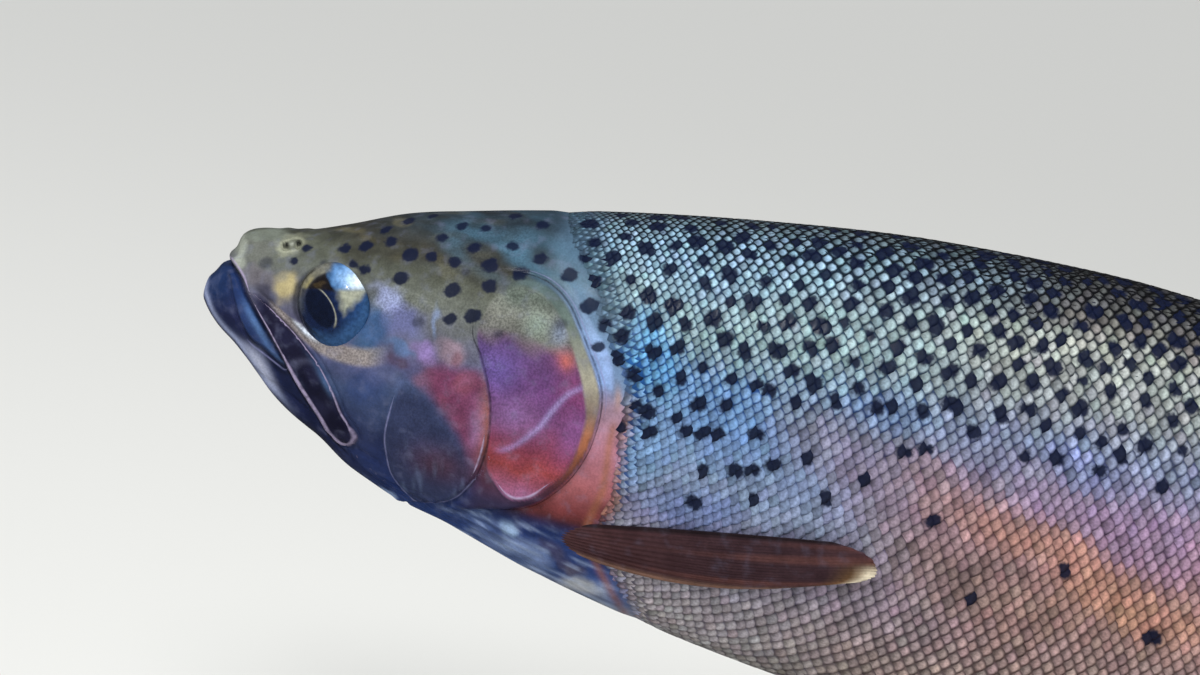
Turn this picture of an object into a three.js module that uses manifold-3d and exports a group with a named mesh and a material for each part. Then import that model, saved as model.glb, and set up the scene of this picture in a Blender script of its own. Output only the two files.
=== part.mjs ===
// Rainbow trout, life size, held level over a flat base by two short rods.
//
// The fish is modelled straight, in its own frame: x runs back from the tip of the snout, z is up, y is
// across, and the fish's left side is at -y. Two closed-form steps put it in the part's frame: the rear
// half is swept gently to the left, and the whole fish is lifted over the middle of the base.
// The body is one loft. Thin cuts part it into head, jaw, gill covers, trunk and tail stalk.
// Units are millimetres, +z is up, and the origin is the middle of the base's underside.

import * as THREE from "three";
import { mergeVertices } from "three/addons/utils/BufferGeometryUtils.js";
import Module from "manifold-3d";

const wasm = await Module();
wasm.setup();

// ---------------------------------------------------------------- driving dimensions
const GAP = 0.3; // between pieces that touch
const SNOUT = { x: -4.3, z: -6.3 }; // the foremost point, at the tip of the lower jaw
const SNOUT_ROUND = 14; // length over which the snout rounds off
const BODY_END = 458; // where the flesh ends in the tail fin
const SWEEP = { from: 200, to: 520, left: 26 }; // the tail's sideways sweep
const FISH_ON_STAND = { x: -225, z: 150 }; // where the fish's own origin sits over the base

const AROUND = 24; // facets round the body
const SNOUT_RINGS = 5;
const HEAD_RINGS = { step: 5.6, until: 104 };
const TRUNK_STEP = 14;

const BASE = { length: 270, width: 116, thick: 14, corner: 16, bevel: 2 };
const ROD = { radius: 3, facets: 16, front: 158, rear: 306 };

// ---------------------------------------------------------------- curves along the body
/** A smooth curve through [x, value] stations, whose slopes are weighted by the neighbouring spans. */
function curve(stations) {
  const xs = stations.map((s) => s[0]);
  const ys = stations.map((s) => s[1]);
  const steps = xs.slice(1).map((x, i) => x - xs[i]);
  const rises = steps.map((h, i) => (ys[i + 1] - ys[i]) / h);
  const slopes = xs.map((_, i) => {
    if (i === 0) return rises[0];
    if (i === xs.length - 1) return rises[i - 1];
    return (rises[i - 1] * steps[i] + rises[i] * steps[i - 1]) / (steps[i - 1] + steps[i]);
  });
  return (x) => {
    const inside = Math.min(Math.max(x, xs[0]), xs[xs.length - 1]);
    let i = 0;
    while (i < steps.length - 1 && inside > xs[i + 1]) i += 1;
    const h = steps[i];
    const t = (inside - xs[i]) / h;
    return (
      ys[i] * (1 + 2 * t) * (1 - t) ** 2 +
      slopes[i] * h * t * (1 - t) ** 2 +
      ys[i + 1] * t * t * (3 - 2 * t) +
      slopes[i + 1] * h * t * t * (t - 1)
    );
  };
}

const back = curve([
  [-4.3, 1], [0, 6.6], [3, 9.9], [10, 11.6], [18, 13.2], [26, 16.2], [40, 22.2], [56, 26.6], [88, 33.9],
  [125, 40.2], [157, 44.2], [190, 46], [230, 45.5], [290, 36], [345, 20], [400, 9], [432, 9.5], [458, 10.5],
]);
const belly = curve([
  [-4.3, -13.2], [1.5, -16.1], [6, -18], [13, -24.4], [24, -32.9], [37, -40.8], [50, -46.2], [66, -50.2],
  [91, -57.6], [113, -62.4], [146, -67.6], [200, -71.5], [250, -68.5], [300, -59], [345, -46], [400, -35.5],
  [432, -36], [458, -37],
]);
const halfWidth = curve([
  [-4.3, 9.5], [0, 11.6], [10, 13.6], [18, 15.6], [27, 18], [40, 21], [56, 24], [75, 26.4], [90, 27],
  [113, 28], [146, 30.5], [200, 32], [260, 29], [320, 21.5], [370, 13.5], [410, 8.5], [440, 6], [458, 2.2],
]);
const widestAt = curve([[-4.3, 0.5], [27, 0.52], [60, 0.5], [200, 0.52], [458, 0.5]]);
const upperSquareness = curve([[-4.3, 2.2], [27, 2.5], [60, 2.3], [120, 2.1], [458, 2]]);
const lowerSquareness = curve([[-4.3, 2], [27, 1.8], [60, 1.8], [90, 2], [140, 2.2], [458, 2]]);

/** The body's section at x: its top, bottom, half width and the height where it is widest. */
function sectionAt(x) {
  const along = Math.min(Math.max((x - SNOUT.x) / SNOUT_ROUND, 0), 1);
  const round = Math.sqrt(1 - (1 - along) ** 2);
  const top = SNOUT.z + (back(x) - SNOUT.z) * round;
  const bottom = SNOUT.z + (belly(x) - SNOUT.z) * round;
  return { top, bottom, half: halfWidth(x) * round, mid: bottom + (top - bottom) * widestAt(x) };
}

/** Half the body's width at (x, z): how far its side stands out from the middle plane. */
function sideAt(x, z) {
  const s = sectionAt(x);
  const upper = z >= s.mid;
  const share = Math.min(upper ? (z - s.mid) / (s.top - s.mid) : (s.mid - z) / (s.mid - s.bottom), 1);
  const squareness = upper ? upperSquareness(x) : lowerSquareness(x);
  return s.half * (1 - share ** squareness) ** (1 / squareness);
}

// ---------------------------------------------------------------- solids
/** Merges a closed geometry's vertices, and turns its faces outwards if they point in. */
function closed(geometry) {
  const bare = new THREE.BufferGeometry().setAttribute("position", geometry.getAttribute("position").clone());
  if (geometry.index) bare.setIndex(geometry.index.clone());
  const merged = mergeVertices(bare, 1e-3);
  const index = merged.index.array;
  const [a, b, c] = [new THREE.Vector3(), new THREE.Vector3(), new THREE.Vector3()];
  const kept = [];
  let volume = 0;
  for (let i = 0; i < index.length; i += 3) {
    const [p, q, r] = [index[i], index[i + 1], index[i + 2]];
    if (p === q || q === r || r === p) continue;
    a.fromBufferAttribute(merged.attributes.position, p);
    b.fromBufferAttribute(merged.attributes.position, q);
    c.fromBufferAttribute(merged.attributes.position, r);
    volume += a.dot(b.cross(c));
    kept.push([p, q, r]);
  }
  const facing = volume < 0 ? kept.map(([p, q, r]) => [p, r, q]) : kept;
  merged.setIndex(facing.flat());
  return merged;
}

/** A closed three.js geometry as a manifold solid. */
function solid(geometry) {
  const merged = closed(geometry);
  return new wasm.Manifold(
    new wasm.Mesh({
      numProp: 3,
      vertProperties: new Float32Array(merged.attributes.position.array),
      triVerts: new Uint32Array(merged.index.array),
    }),
  );
}

/** A manifold solid as a three.js geometry. */
function geometryOf(made) {
  const mesh = made.getMesh();
  const geometry = new THREE.BufferGeometry();
  geometry.setAttribute("position", new THREE.BufferAttribute(new Float32Array(mesh.vertProperties), 3));
  geometry.setIndex(new THREE.BufferAttribute(new Uint32Array(mesh.triVerts), 1));
  return geometry;
}

/** Moves each vertex of a geometry through a function of its own position. */
function reshape(geometry, move) {
  const position = geometry.getAttribute("position");
  const p = new THREE.Vector3();
  for (let i = 0; i < position.count; i += 1) {
    p.fromBufferAttribute(position, i);
    const moved = move(p.x, p.y, p.z);
    position.setXYZ(i, moved.x, moved.y, moved.z);
  }
  return geometry;
}

/** The x of each ring of the body, close together on the head and wider apart on the trunk. */
function ringPlaces() {
  const places = [];
  for (let i = 0; i <= SNOUT_RINGS; i += 1) {
    places.push(SNOUT.x + SNOUT_ROUND * (1 - Math.cos((Math.PI / 2) * (i / SNOUT_RINGS))));
  }
  let from = places[places.length - 1];
  while (from < HEAD_RINGS.until) {
    from += HEAD_RINGS.step;
    places.push(from);
  }
  const rest = BODY_END - from;
  const count = Math.round(rest / TRUNK_STEP);
  for (let i = 1; i <= count; i += 1) places.push(from + (rest * i) / count);
  return places;
}

/** The whole body as one closed loft, grown outwards by a margin. */
function body(margin = 0) {
  const rings = ringPlaces();
  const last = rings.length; // the end pole closes the flat end of the flesh
  const sphere = new THREE.SphereGeometry(1, AROUND, last);
  const loft = reshape(sphere, (x, y, z) => {
    const ring = Math.round((Math.acos(Math.min(Math.max(y, -1), 1)) / Math.PI) * last);
    const at = rings[Math.min(ring, last - 1)];
    const s = sectionAt(at);
    if (ring === 0) return new THREE.Vector3(SNOUT.x, 0, SNOUT.z);
    if (ring === last) return new THREE.Vector3(at, 0, s.mid);
    const spread = Math.hypot(x, z);
    const [across, up] = [x / spread, z / spread];
    const squareness = up >= 0 ? upperSquareness(at) : lowerSquareness(at);
    const height = up >= 0 ? s.top - s.mid : s.mid - s.bottom;
    return new THREE.Vector3(
      at,
      s.half * Math.sign(across) * Math.abs(across) ** (2 / squareness),
      s.mid + height * Math.sign(up) * Math.abs(up) ** (2 / squareness),
    );
  });
  const merged = closed(loft);
  if (!margin) return solid(merged);
  merged.computeVertexNormals();
  const [position, normal] = [merged.getAttribute("position"), merged.getAttribute("normal")];
  for (let i = 0; i < position.count; i += 1) {
    position.setXYZ(
      i,
      position.getX(i) + normal.getX(i) * margin,
      position.getY(i) + normal.getY(i) * margin,
      position.getZ(i) + normal.getZ(i) * margin,
    );
  }
  return solid(merged);
}

/** A prism across the fish: a side-view outline of [x, z] points, from y = near to y = far. */
function prism(outline, near, far, { smooth = true, grow = 0 } = {}) {
  const centre = outline.reduce((sum, [x, z]) => sum.add(new THREE.Vector2(x, z)), new THREE.Vector2());
  centre.divideScalar(outline.length);
  const points = outline.map(([x, z]) => {
    const out = new THREE.Vector2(x, z).sub(centre);
    return out.setLength(out.length() + grow).add(centre);
  });
  const shape = new THREE.Shape(
    smooth ? new THREE.SplineCurve([...points, points[0]]).getPoints(points.length * 2).slice(0, -1) : points,
  );
  const extruded = new THREE.ExtrudeGeometry(shape, { depth: far - near, bevelEnabled: false });
  extruded.rotateX(Math.PI / 2); // the outline's own y becomes z, and its depth runs along -y
  extruded.translate(0, far, 0);
  return solid(extruded);
}

/** Everything in front of an open side-view line, as a prism right across the fish. */
function ahead(line, shift = 0) {
  const smooth = new THREE.SplineCurve(line.map(([x, z]) => new THREE.Vector2(x + shift, z))).getPoints(
    line.length * 2,
  );
  const [first, last] = [smooth[0], smooth[smooth.length - 1]];
  const far = -60;
  const outline = [...smooth.map((p) => [p.x, p.y]), [far, last.y], [far, first.y]];
  return prism(outline, -60, 60, { smooth: false });
}

/** An ellipsoid at a centre, its short axis turned to look along a direction. */
function eyeball(centre, radii, look, grow = 0) {
  const ball = new THREE.SphereGeometry(1, 18, 10);
  ball.scale(radii.x + grow, radii.out + grow, radii.z + grow);
  ball.applyQuaternion(new THREE.Quaternion().setFromUnitVectors(new THREE.Vector3(0, 1, 0), look));
  ball.translate(centre.x, centre.y, centre.z);
  return solid(ball);
}

// ---------------------------------------------------------------- fins
const THINNEST = 0.6; // the rim of every fin

/**
 * A fin of rays that fan out from a root, as a closed plate that thins towards its tip and its edges.
 * root: its front and rear ends. angles: the first and last ray's lean from the x axis, in degrees.
 * lengths: ray lengths from first to last. bend: how far the first and last ray's tips curve up.
 * place: turns a point (along x, across the plate, up z) into the fish's frame.
 */
function fin({ root, angles, lengths, thick, bend = [0, 0], rays = 10, rows = 5, place = inMiddlePlane }) {
  const length = curve(lengths.map((value, i) => [i / (lengths.length - 1), value]));
  const [first, last] = root;
  const plate = new THREE.BoxGeometry(1, 1, 1, rays, rows, 1);
  return reshape(plate, (u, v, w) => {
    const across = u + 0.5;
    const out = v + 0.5;
    const lean = THREE.MathUtils.degToRad(THREE.MathUtils.lerp(angles[0], angles[1], across));
    const reach = length(across) * out;
    const lift = THREE.MathUtils.lerp(bend[0], bend[1], across) * out * out;
    const x = THREE.MathUtils.lerp(first[0], last[0], across) + reach * Math.cos(lean);
    const z = THREE.MathUtils.lerp(first[1], last[1], across) + reach * Math.sin(lean) + lift;
    const full = THREE.MathUtils.lerp(thick.root, thick.tip, out ** 0.6);
    const rim = Math.sqrt(4 * across * (1 - across));
    const thickness = Math.max(THINNEST, full * (0.4 + 0.6 * rim));
    return place(x, w * thickness, z);
  });
}

/** A point of a fin that stands in the fish's middle plane. */
function inMiddlePlane(x, across, z) {
  return new THREE.Vector3(x, across, z);
}

/** Lays a paired fin along the flank: it follows the side, standing off further towards its tip. */
function alongFlank({ rootX, reach, inset, standOff, side }) {
  return (x, across, z) => {
    const out = Math.min(Math.max((x - rootX) / reach, 0), 1);
    const off = THREE.MathUtils.lerp(-inset, standOff, Math.sqrt(out));
    return new THREE.Vector3(x, side * (sideAt(x, z) + off + across), z);
  };
}

/** Hangs a paired fin under the flank at (x, z): it flares out towards its tip, and its sheet leans. */
function underBelly({ x, z, inset, flare, lean, side }) {
  const out = sideAt(x, z) - inset;
  const turn = new THREE.Matrix4().makeRotationX(THREE.MathUtils.degToRad(side * lean));
  turn.premultiply(new THREE.Matrix4().makeRotationZ(THREE.MathUtils.degToRad(side * flare)));
  turn.setPosition(x, side * out, z);
  return (along, across, up) => new THREE.Vector3(along, across, up).applyMatrix4(turn);
}

const MEDIAN_FINS = {
  dorsal_fin: {
    root: [[229, 42], [287, 32.5]], angles: [44, 20], lengths: [50, 56, 55, 49, 41, 33, 27],
    bend: [-10, -1], thick: { root: 3.2, tip: 1.1 },
  },
  adipose_fin: {
    root: [[363, 11], [377, 8]], angles: [46, 22], lengths: [19, 23, 25, 25, 22, 17],
    bend: [-3, 0], thick: { root: 4, tip: 2 }, rays: 6, rows: 4,
  },
  anal_fin: {
    root: [[331, -46], [376, -36]], angles: [-60, -26], lengths: [38, 47, 45, 38, 31, 26, 22],
    bend: [7, 1], thick: { root: 3.2, tip: 1.1 },
  },
  tail_fin: {
    root: [[454, 8], [454, -34.5]], angles: [41, -41], lengths: [73, 82, 76, 68, 62, 60, 62, 68, 76, 82, 73],
    bend: [-9, 9], thick: { root: 4.4, tip: 1.1 }, rays: 16, rows: 5,
  },
};

const PECTORAL = {
  root: [[86, -40.5], [87.5, -44.2]], angles: [8, -10], lengths: [76, 82, 83, 82, 80, 76],
  bend: [0, 21], thick: { root: 3.4, tip: 1.2 }, rays: 8, rows: 8,
};
const PECTORAL_PLACE = { rootX: 86, reach: 82, inset: 1.6, standOff: 3.4 };
const PELVIC = {
  root: [[0, 2.5], [3, -5.5]], angles: [-6, -26], lengths: [44, 52, 51, 46, 39, 32],
  bend: [1, 6], thick: { root: 3.6, tip: 1.1 }, rays: 8,
};
const PELVIC_PLACE = { x: 238, z: -64, inset: 1.5, flare: 5, lean: 32 };

// ---------------------------------------------------------------- outlines on the head
const MOUTH_LINE = [
  [-12, 0.2], [-2, 0.6], [3.5, 1.2], [6.8, -1.6], [11.3, -8.2], [16.8, -14.6], [21.1, -20.4], [26, -27],
  [32, -32], [38, -35.6], [44, -37.4], [52, -60],
];
const MAXILLA = [
  [4.6, 1.9], [8.6, 0], [12.4, -3.6], [19.9, -8.6], [25.9, -13], [31, -17.6], [34.8, -22.6], [38.2, -27.2],
  [40.6, -31], [39.8, -34.2], [36.6, -34], [31, -30.6], [25.4, -25.4], [20.6, -19], [16.4, -13], [11.2, -7],
  [6.8, -0.6],
];
const GILL_COVER = [
  [63.5, 6.5], [69.3, 14.4], [76.5, 17], [84, 15], [91, 8.6], [96.4, 0], [98.6, -9], [97.6, -18], [94.6, -27],
  [89, -35], [81.5, -39.5], [74.4, -36.5], [71.6, -28.5], [71.4, -18], [69.4, -8.4], [66, 0],
];
const NAPE_TO_THROAT = [
  [70, 60], [76, 37], [81, 25.5], [91, 15], [98.4, 4], [102.4, -8], [103.2, -19], [101, -30], [96, -38.5],
  [88, -45], [79, -50.5], [70, -60], [66, -70],
];
const EYE = { x: 28.6, z: -1.4, sunk: 2.3, radii: { x: 10.9, z: 10.1, out: 4.6 } };
const NOSTRILS = [[14.6, 9.5], [17.2, 9.9]];

// ---------------------------------------------------------------- the fish's pieces
const SIDES = { left: -1, right: 1 };
const trout = new Map(); // node name to its solid, still straight

const whole = body();
const proud = body(0.7);
const clear = body(GAP);

const inFront = ahead(NAPE_TO_THROAT);
const jawPrism = prism([...MOUTH_LINE, [-30, -60], [-30, 0]], -40, 40, { smooth: false });
const jawCut = prism(
  [...MOUTH_LINE.map(([x, z]) => [x + GAP, z + GAP]), [-30, -60.4], [-30, 0.4]], -40, 40, { smooth: false },
);

let head = whole.intersect(inFront).subtract(jawCut);
let jaw = whole.intersect(inFront).intersect(jawPrism);

for (const [side, sign] of Object.entries(SIDES)) {
  const span = (from) => (sign < 0 ? [-40, -from] : [from, 40]);

  const look = new THREE.Vector3(-0.24, sign, 0.14).normalize();
  const seat = new THREE.Vector3(EYE.x, sign * sideAt(EYE.x, EYE.z), EYE.z).addScaledVector(look, -EYE.sunk);
  const socket = eyeball(seat, EYE.radii, look, GAP);
  trout.set(`eye_${side}`, eyeball(seat, EYE.radii, look));
  head = head.subtract(socket);

  const maxillaCut = prism(MAXILLA, ...span(7.5 - GAP), { grow: GAP });
  trout.set(`maxilla_${side}`, proud.intersect(prism(MAXILLA, ...span(7.5))).subtract(socket));
  head = head.subtract(maxillaCut);
  jaw = jaw.subtract(maxillaCut);

  const coverCut = prism(GILL_COVER, ...span(14 - GAP), { grow: GAP });
  trout.set(`gill_cover_${side}`, proud.intersect(prism(GILL_COVER, ...span(14))));
  head = head.subtract(coverCut);

  for (const [x, z] of NOSTRILS) {
    const pit = new THREE.SphereGeometry(1.1, 8, 6).translate(x, sign * sideAt(x, z), z);
    head = head.subtract(solid(pit));
  }
}
trout.set("head", head);
trout.set("lower_jaw", jaw);

/** A slab of the trunk between two stations, behind the head. */
function trunkSlab(from, to) {
  const slab = new THREE.BoxGeometry(to - from, 120, 240).translate((from + to) / 2, 0, 0);
  return whole.subtract(ahead(NAPE_TO_THROAT, GAP)).intersect(solid(slab));
}
const TRUNK_CUTS = [40, 222, 378, BODY_END + 10];
["trunk_front", "trunk_rear", "tail_stalk"].forEach((name, i) => {
  trout.set(name, trunkSlab(TRUNK_CUTS[i] + (i ? GAP : 0), TRUNK_CUTS[i + 1]));
});

for (const [name, shape] of Object.entries(MEDIAN_FINS)) {
  trout.set(name, solid(fin(shape)).subtract(clear));
}
for (const [side, sign] of Object.entries(SIDES)) {
  const pectoral = fin({ ...PECTORAL, place: alongFlank({ ...PECTORAL_PLACE, side: sign }) });
  trout.set(`pectoral_fin_${side}`, solid(pectoral).subtract(clear));
  const pelvic = fin({ ...PELVIC, place: underBelly({ ...PELVIC_PLACE, side: sign }) });
  trout.set(`pelvic_fin_${side}`, solid(pelvic).subtract(clear));
}

// ---------------------------------------------------------------- into the part's frame
/** The sideways sweep: how far the middle line has moved at x, and the angle it has there. */
function sweepAt(x) {
  const span = SWEEP.to - SWEEP.from;
  const t = Math.min(Math.max((x - SWEEP.from) / span, 0), 1);
  const slope = (-SWEEP.left * 6 * t * (1 - t)) / span;
  return { y: -SWEEP.left * t * t * (3 - 2 * t), angle: Math.atan(slope) };
}

/** A point of the straight fish, swept and lifted into the part's frame. */
function posed(x, y, z) {
  const sweep = sweepAt(x);
  return new THREE.Vector3(
    x - y * Math.sin(sweep.angle) + FISH_ON_STAND.x,
    sweep.y + y * Math.cos(sweep.angle),
    z + FISH_ON_STAND.z,
  );
}

const COLOURS = {
  head: 0x6f745c, lower_jaw: 0x5b6478, maxilla: 0x4a5068, gill_cover: 0x8e5a72, eye: 0x2a2f38,
  trunk_front: 0x7d8788, trunk_rear: 0x7d8788, tail_stalk: 0x6f7a74, dorsal_fin: 0x5a5f4c,
  adipose_fin: 0x4f5546, anal_fin: 0x9a7a6c, tail_fin: 0x5f6450, pectoral_fin: 0x5a4038, pelvic_fin: 0x9c8278,
};

/** A named mesh with its own plain material. */
function meshOf(name, geometry, colour, roughness, metalness) {
  const material = new THREE.MeshStandardMaterial({ color: colour, roughness, metalness });
  const mesh = new THREE.Mesh(geometry, material);
  mesh.name = name;
  return mesh;
}

const model = new THREE.Group();
for (const [name, made] of trout) {
  const kind = name.replace(/_(left|right)$/, "");
  const geometry = reshape(geometryOf(made), posed);
  model.add(meshOf(name, geometry, COLOURS[kind], kind === "eye" ? 0.08 : 0.4, 0.1));
}

// ---------------------------------------------------------------- the stand
/** A rectangle with round corners, centred on the origin. */
function roundedRectangle(length, width, corner) {
  const shape = new THREE.Shape();
  const [x, y] = [length / 2 - corner, width / 2 - corner];
  shape.absarc(x, y, corner, 0, Math.PI / 2);
  shape.absarc(-x, y, corner, Math.PI / 2, Math.PI);
  shape.absarc(-x, -y, corner, Math.PI, 1.5 * Math.PI);
  shape.absarc(x, -y, corner, 1.5 * Math.PI, 2 * Math.PI);
  return shape;
}

const plate = new THREE.ExtrudeGeometry(
  roundedRectangle(BASE.length - 2 * BASE.bevel, BASE.width - 2 * BASE.bevel, BASE.corner - BASE.bevel),
  { depth: BASE.thick - BASE.bevel, bevelSize: BASE.bevel, bevelThickness: BASE.bevel, bevelSegments: 2,
    curveSegments: 5 },
);
const flatFoot = reshape(plate, (x, y, z) => new THREE.Vector3(x, y, Math.max(z, 0))); // a square lower edge
model.add(meshOf("stand_base", geometryOf(solid(flatFoot)), 0x3a2b20, 0.45, 0));

/** A rod from the base's top to the belly over it, its end cut to the belly's curve. */
function rod(x) {
  const at = posed(x, 0, 0);
  const top = belly(x) + FISH_ON_STAND.z + 6;
  const from = BASE.thick + GAP;
  const bar = new THREE.CylinderGeometry(ROD.radius, ROD.radius, top - from, ROD.facets);
  bar.rotateX(Math.PI / 2).translate(at.x, at.y, (top + from) / 2);
  const fish = solid(reshape(geometryOf(clear), posed));
  return solid(bar).subtract(fish);
}
model.add(meshOf("stand_rod_front", geometryOf(rod(ROD.front)), 0xb08d4f, 0.3, 1));
model.add(meshOf("stand_rod_rear", geometryOf(rod(ROD.rear)), 0xb08d4f, 0.3, 1));

export default model;
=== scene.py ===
"""Dresses a life-size rainbow trout on its display stand.

The fish is worked out straight, in its own frame and in millimetres: x runs back from the snout, z is up, y
is across, and the fish's left side is at -y. FishPlace then sweeps its tail and lifts it over the stand, in
metres.
"""

import logging
import math
from collections.abc import Callable
from dataclasses import dataclass, field
from enum import IntEnum
from functools import cached_property

import bmesh
import bpy
import numpy as np
from mathutils import Euler, Matrix, Vector
from mathutils.kdtree import KDTree


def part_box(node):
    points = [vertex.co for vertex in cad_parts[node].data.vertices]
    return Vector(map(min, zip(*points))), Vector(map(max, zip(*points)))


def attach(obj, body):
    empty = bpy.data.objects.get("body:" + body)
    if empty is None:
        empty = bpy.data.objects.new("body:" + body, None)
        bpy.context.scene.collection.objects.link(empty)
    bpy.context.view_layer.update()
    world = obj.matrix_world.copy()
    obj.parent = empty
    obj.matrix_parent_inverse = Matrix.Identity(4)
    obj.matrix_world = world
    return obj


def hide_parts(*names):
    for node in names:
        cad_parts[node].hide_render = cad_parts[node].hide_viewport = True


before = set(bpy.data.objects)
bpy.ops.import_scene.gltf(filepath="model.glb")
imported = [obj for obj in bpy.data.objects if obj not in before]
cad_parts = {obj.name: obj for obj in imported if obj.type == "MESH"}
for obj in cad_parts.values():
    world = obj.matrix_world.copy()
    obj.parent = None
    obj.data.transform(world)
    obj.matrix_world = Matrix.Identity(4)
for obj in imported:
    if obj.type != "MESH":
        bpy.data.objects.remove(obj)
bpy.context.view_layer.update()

log = logging.getLogger("trout")
Array = np.ndarray
Points = tuple[tuple[float, float], ...]
MM = 0.001
Stops = tuple[tuple[float, str], ...]
Bands = tuple[tuple[float, str, str], ...]


# ------------------------------------------------------------------ small helpers
class Side(IntEnum):
    """A side of the fish, as the sign of its y."""

    LEFT = -1
    RIGHT = 1


def smooth(start: float, end: float, value: Array) -> Array:
    """Eases from 0 at start to 1 at end, which may lie before start."""
    t = np.clip((value - start) / (end - start), 0.0, 1.0)
    return t * t * (3.0 - 2.0 * t)


def bump(value: Array, centre: float, width: float) -> Array:
    """Gives a bell of height 1 at centre that has faded at about twice its width."""
    return np.exp(-(((value - centre) / width) ** 2))


def linear(colour: str) -> Array:
    """Turns an sRGB hex colour into linear red, green and blue."""
    levels = np.array([int(colour[i : i + 2], 16) for i in (1, 3, 5)]) / 255.0
    return np.where(levels <= 0.04045, levels / 12.92, ((levels + 0.055) / 1.055) ** 2.4)


def ramp(value: Array, stops: Stops) -> Array:
    """Reads a row of sRGB colour stops, in rising order, at each value.

    Args:
        value: Where to read, one for each row of the result.
        stops: Places, each with its colour.

    Returns:
        One linear colour in each row.
    """
    places = [place for place, _ in stops]
    colours = np.array([linear(colour) for _, colour in stops])
    return np.stack([np.interp(value, places, colours[:, i]) for i in range(3)], axis=1)


@dataclass
class Paint:
    """Rows of linear colour, one for each point, which further coats are mixed over."""

    rows: Array

    def coat(self, colour: str, share: Array | float) -> None:
        """Mixes an sRGB hex colour in, by a share from 0 to 1 for each row."""
        share = np.broadcast_to(np.asarray(share, dtype=float), self.rows.shape[:1])
        self.rows = self.rows + (linear(colour) - self.rows) * share[:, None]

    def cover(self, rows: Array, share: Array) -> None:
        """Mixes other rows in, by a share from 0 to 1 for each row."""
        self.rows = self.rows + (rows - self.rows) * share[:, None]


@dataclass(frozen=True)
class Curve:
    """A smooth curve through stations along the body, the same as the one that shapes the solids."""

    stations: Points

    def __call__(self, x: Array | float) -> Array:
        """Reads the curve, held level past its ends.

        Args:
            x: Where it is read.

        Returns:
            Its heights there.
        """
        xs, ys = np.array(self.stations, dtype=float).T
        steps = np.diff(xs)
        rises = np.diff(ys) / steps
        slopes = np.empty_like(ys)
        slopes[0], slopes[-1] = rises[0], rises[-1]
        slopes[1:-1] = (rises[:-1] * steps[1:] + rises[1:] * steps[:-1]) / (steps[:-1] + steps[1:])
        inside = np.clip(np.asarray(x, dtype=float), xs[0], xs[-1])
        i = np.clip(np.searchsorted(xs, inside, side="right") - 1, 0, len(steps) - 1)
        h = steps[i]
        t = (inside - xs[i]) / h
        start = ys[i] * (1 + 2 * t) * (1 - t) ** 2 + slopes[i] * h * t * (1 - t) ** 2
        return start + ys[i + 1] * t * t * (3 - 2 * t) + slopes[i + 1] * h * t * t * (t - 1)


@dataclass(frozen=True)
class Outline:
    """A smooth line through a few (x, z) points of the side view."""

    points: Points
    closed: bool = False
    steps: int = 8

    @cached_property
    def path(self) -> Array:
        """The line as short straight steps."""
        p = np.array(self.points, dtype=float)
        if self.closed:
            p = np.vstack([p[-1], p, p[0], p[1]])
        else:
            p = np.vstack([2 * p[0] - p[1], p, 2 * p[-1] - p[-2]])
        t = np.linspace(0, 1, self.steps, endpoint=False)[:, None]
        runs = []
        for a, b, c, d in zip(p, p[1:], p[2:], p[3:]):
            runs.append(
                b + 0.5 * t * (c - a + t * (2 * a - 5 * b + 4 * c - d + t * (3 * (b - c) + d - a)))
            )
        return np.vstack([*runs, p[-2]])

    def offset(self, x: Array, z: Array) -> Array:
        """Measures how far points lie from the line.

        Args:
            x: The points' x.
            z: The points' z.

        Returns:
            Distances, positive on the left of the line's own direction.
        """
        nearest = np.full(x.shape, np.inf)
        signed = np.full(x.shape, np.inf)
        for (ax, az), (bx, bz) in zip(self.path, self.path[1:]):
            run_x, run_z = bx - ax, bz - az
            length = run_x * run_x + run_z * run_z + 1e-12
            along = np.clip(((x - ax) * run_x + (z - az) * run_z) / length, 0, 1)
            off_x, off_z = x - ax - along * run_x, z - az - along * run_z
            distance = off_x * off_x + off_z * off_z
            closer = distance < nearest
            side = np.sign(run_x * off_z - run_z * off_x)
            nearest = np.where(closer, distance, nearest)
            signed = np.where(closer, side * np.sqrt(distance), signed)
        return signed

    def inside(self, x: Array, z: Array) -> Array:
        """Measures how deep points lie inside a closed line.

        Args:
            x: The points' x.
            z: The points' z.

        Returns:
            Depths, negative outside the line.
        """
        px, pz = self.path.T
        turning = np.sum(px[:-1] * pz[1:] - px[1:] * pz[:-1])
        return np.sign(turning) * self.offset(x, z)


# ------------------------------------------------------------------ the form of the fish
@dataclass(frozen=True)
class FishPlace:
    """Puts the straight fish into the part's frame: its tail swept sideways, and lifted over the base."""

    sweep_from: float = 200.0
    sweep_to: float = 520.0
    sweep_left: float = 26.0
    over_base: tuple[float, float] = (-225.0, 150.0)

    def posed(self, points: Array) -> Array:
        """Sweeps and lifts points.

        Args:
            points: Rows of x, y and z in the fish's frame, in millimetres.

        Returns:
            The rows in the part's frame, in metres.
        """
        x, y, z = points.T
        t = np.clip((x - self.sweep_from) / (self.sweep_to - self.sweep_from), 0, 1)
        slope = -self.sweep_left * 6 * t * (1 - t) / (self.sweep_to - self.sweep_from)
        angle = np.arctan(slope)
        middle = -self.sweep_left * t * t * (3 - 2 * t)
        back, up = x - y * np.sin(angle) + self.over_base[0], z + self.over_base[1]
        return np.stack([back, middle + y * np.cos(angle), up], axis=1) * MM


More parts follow.
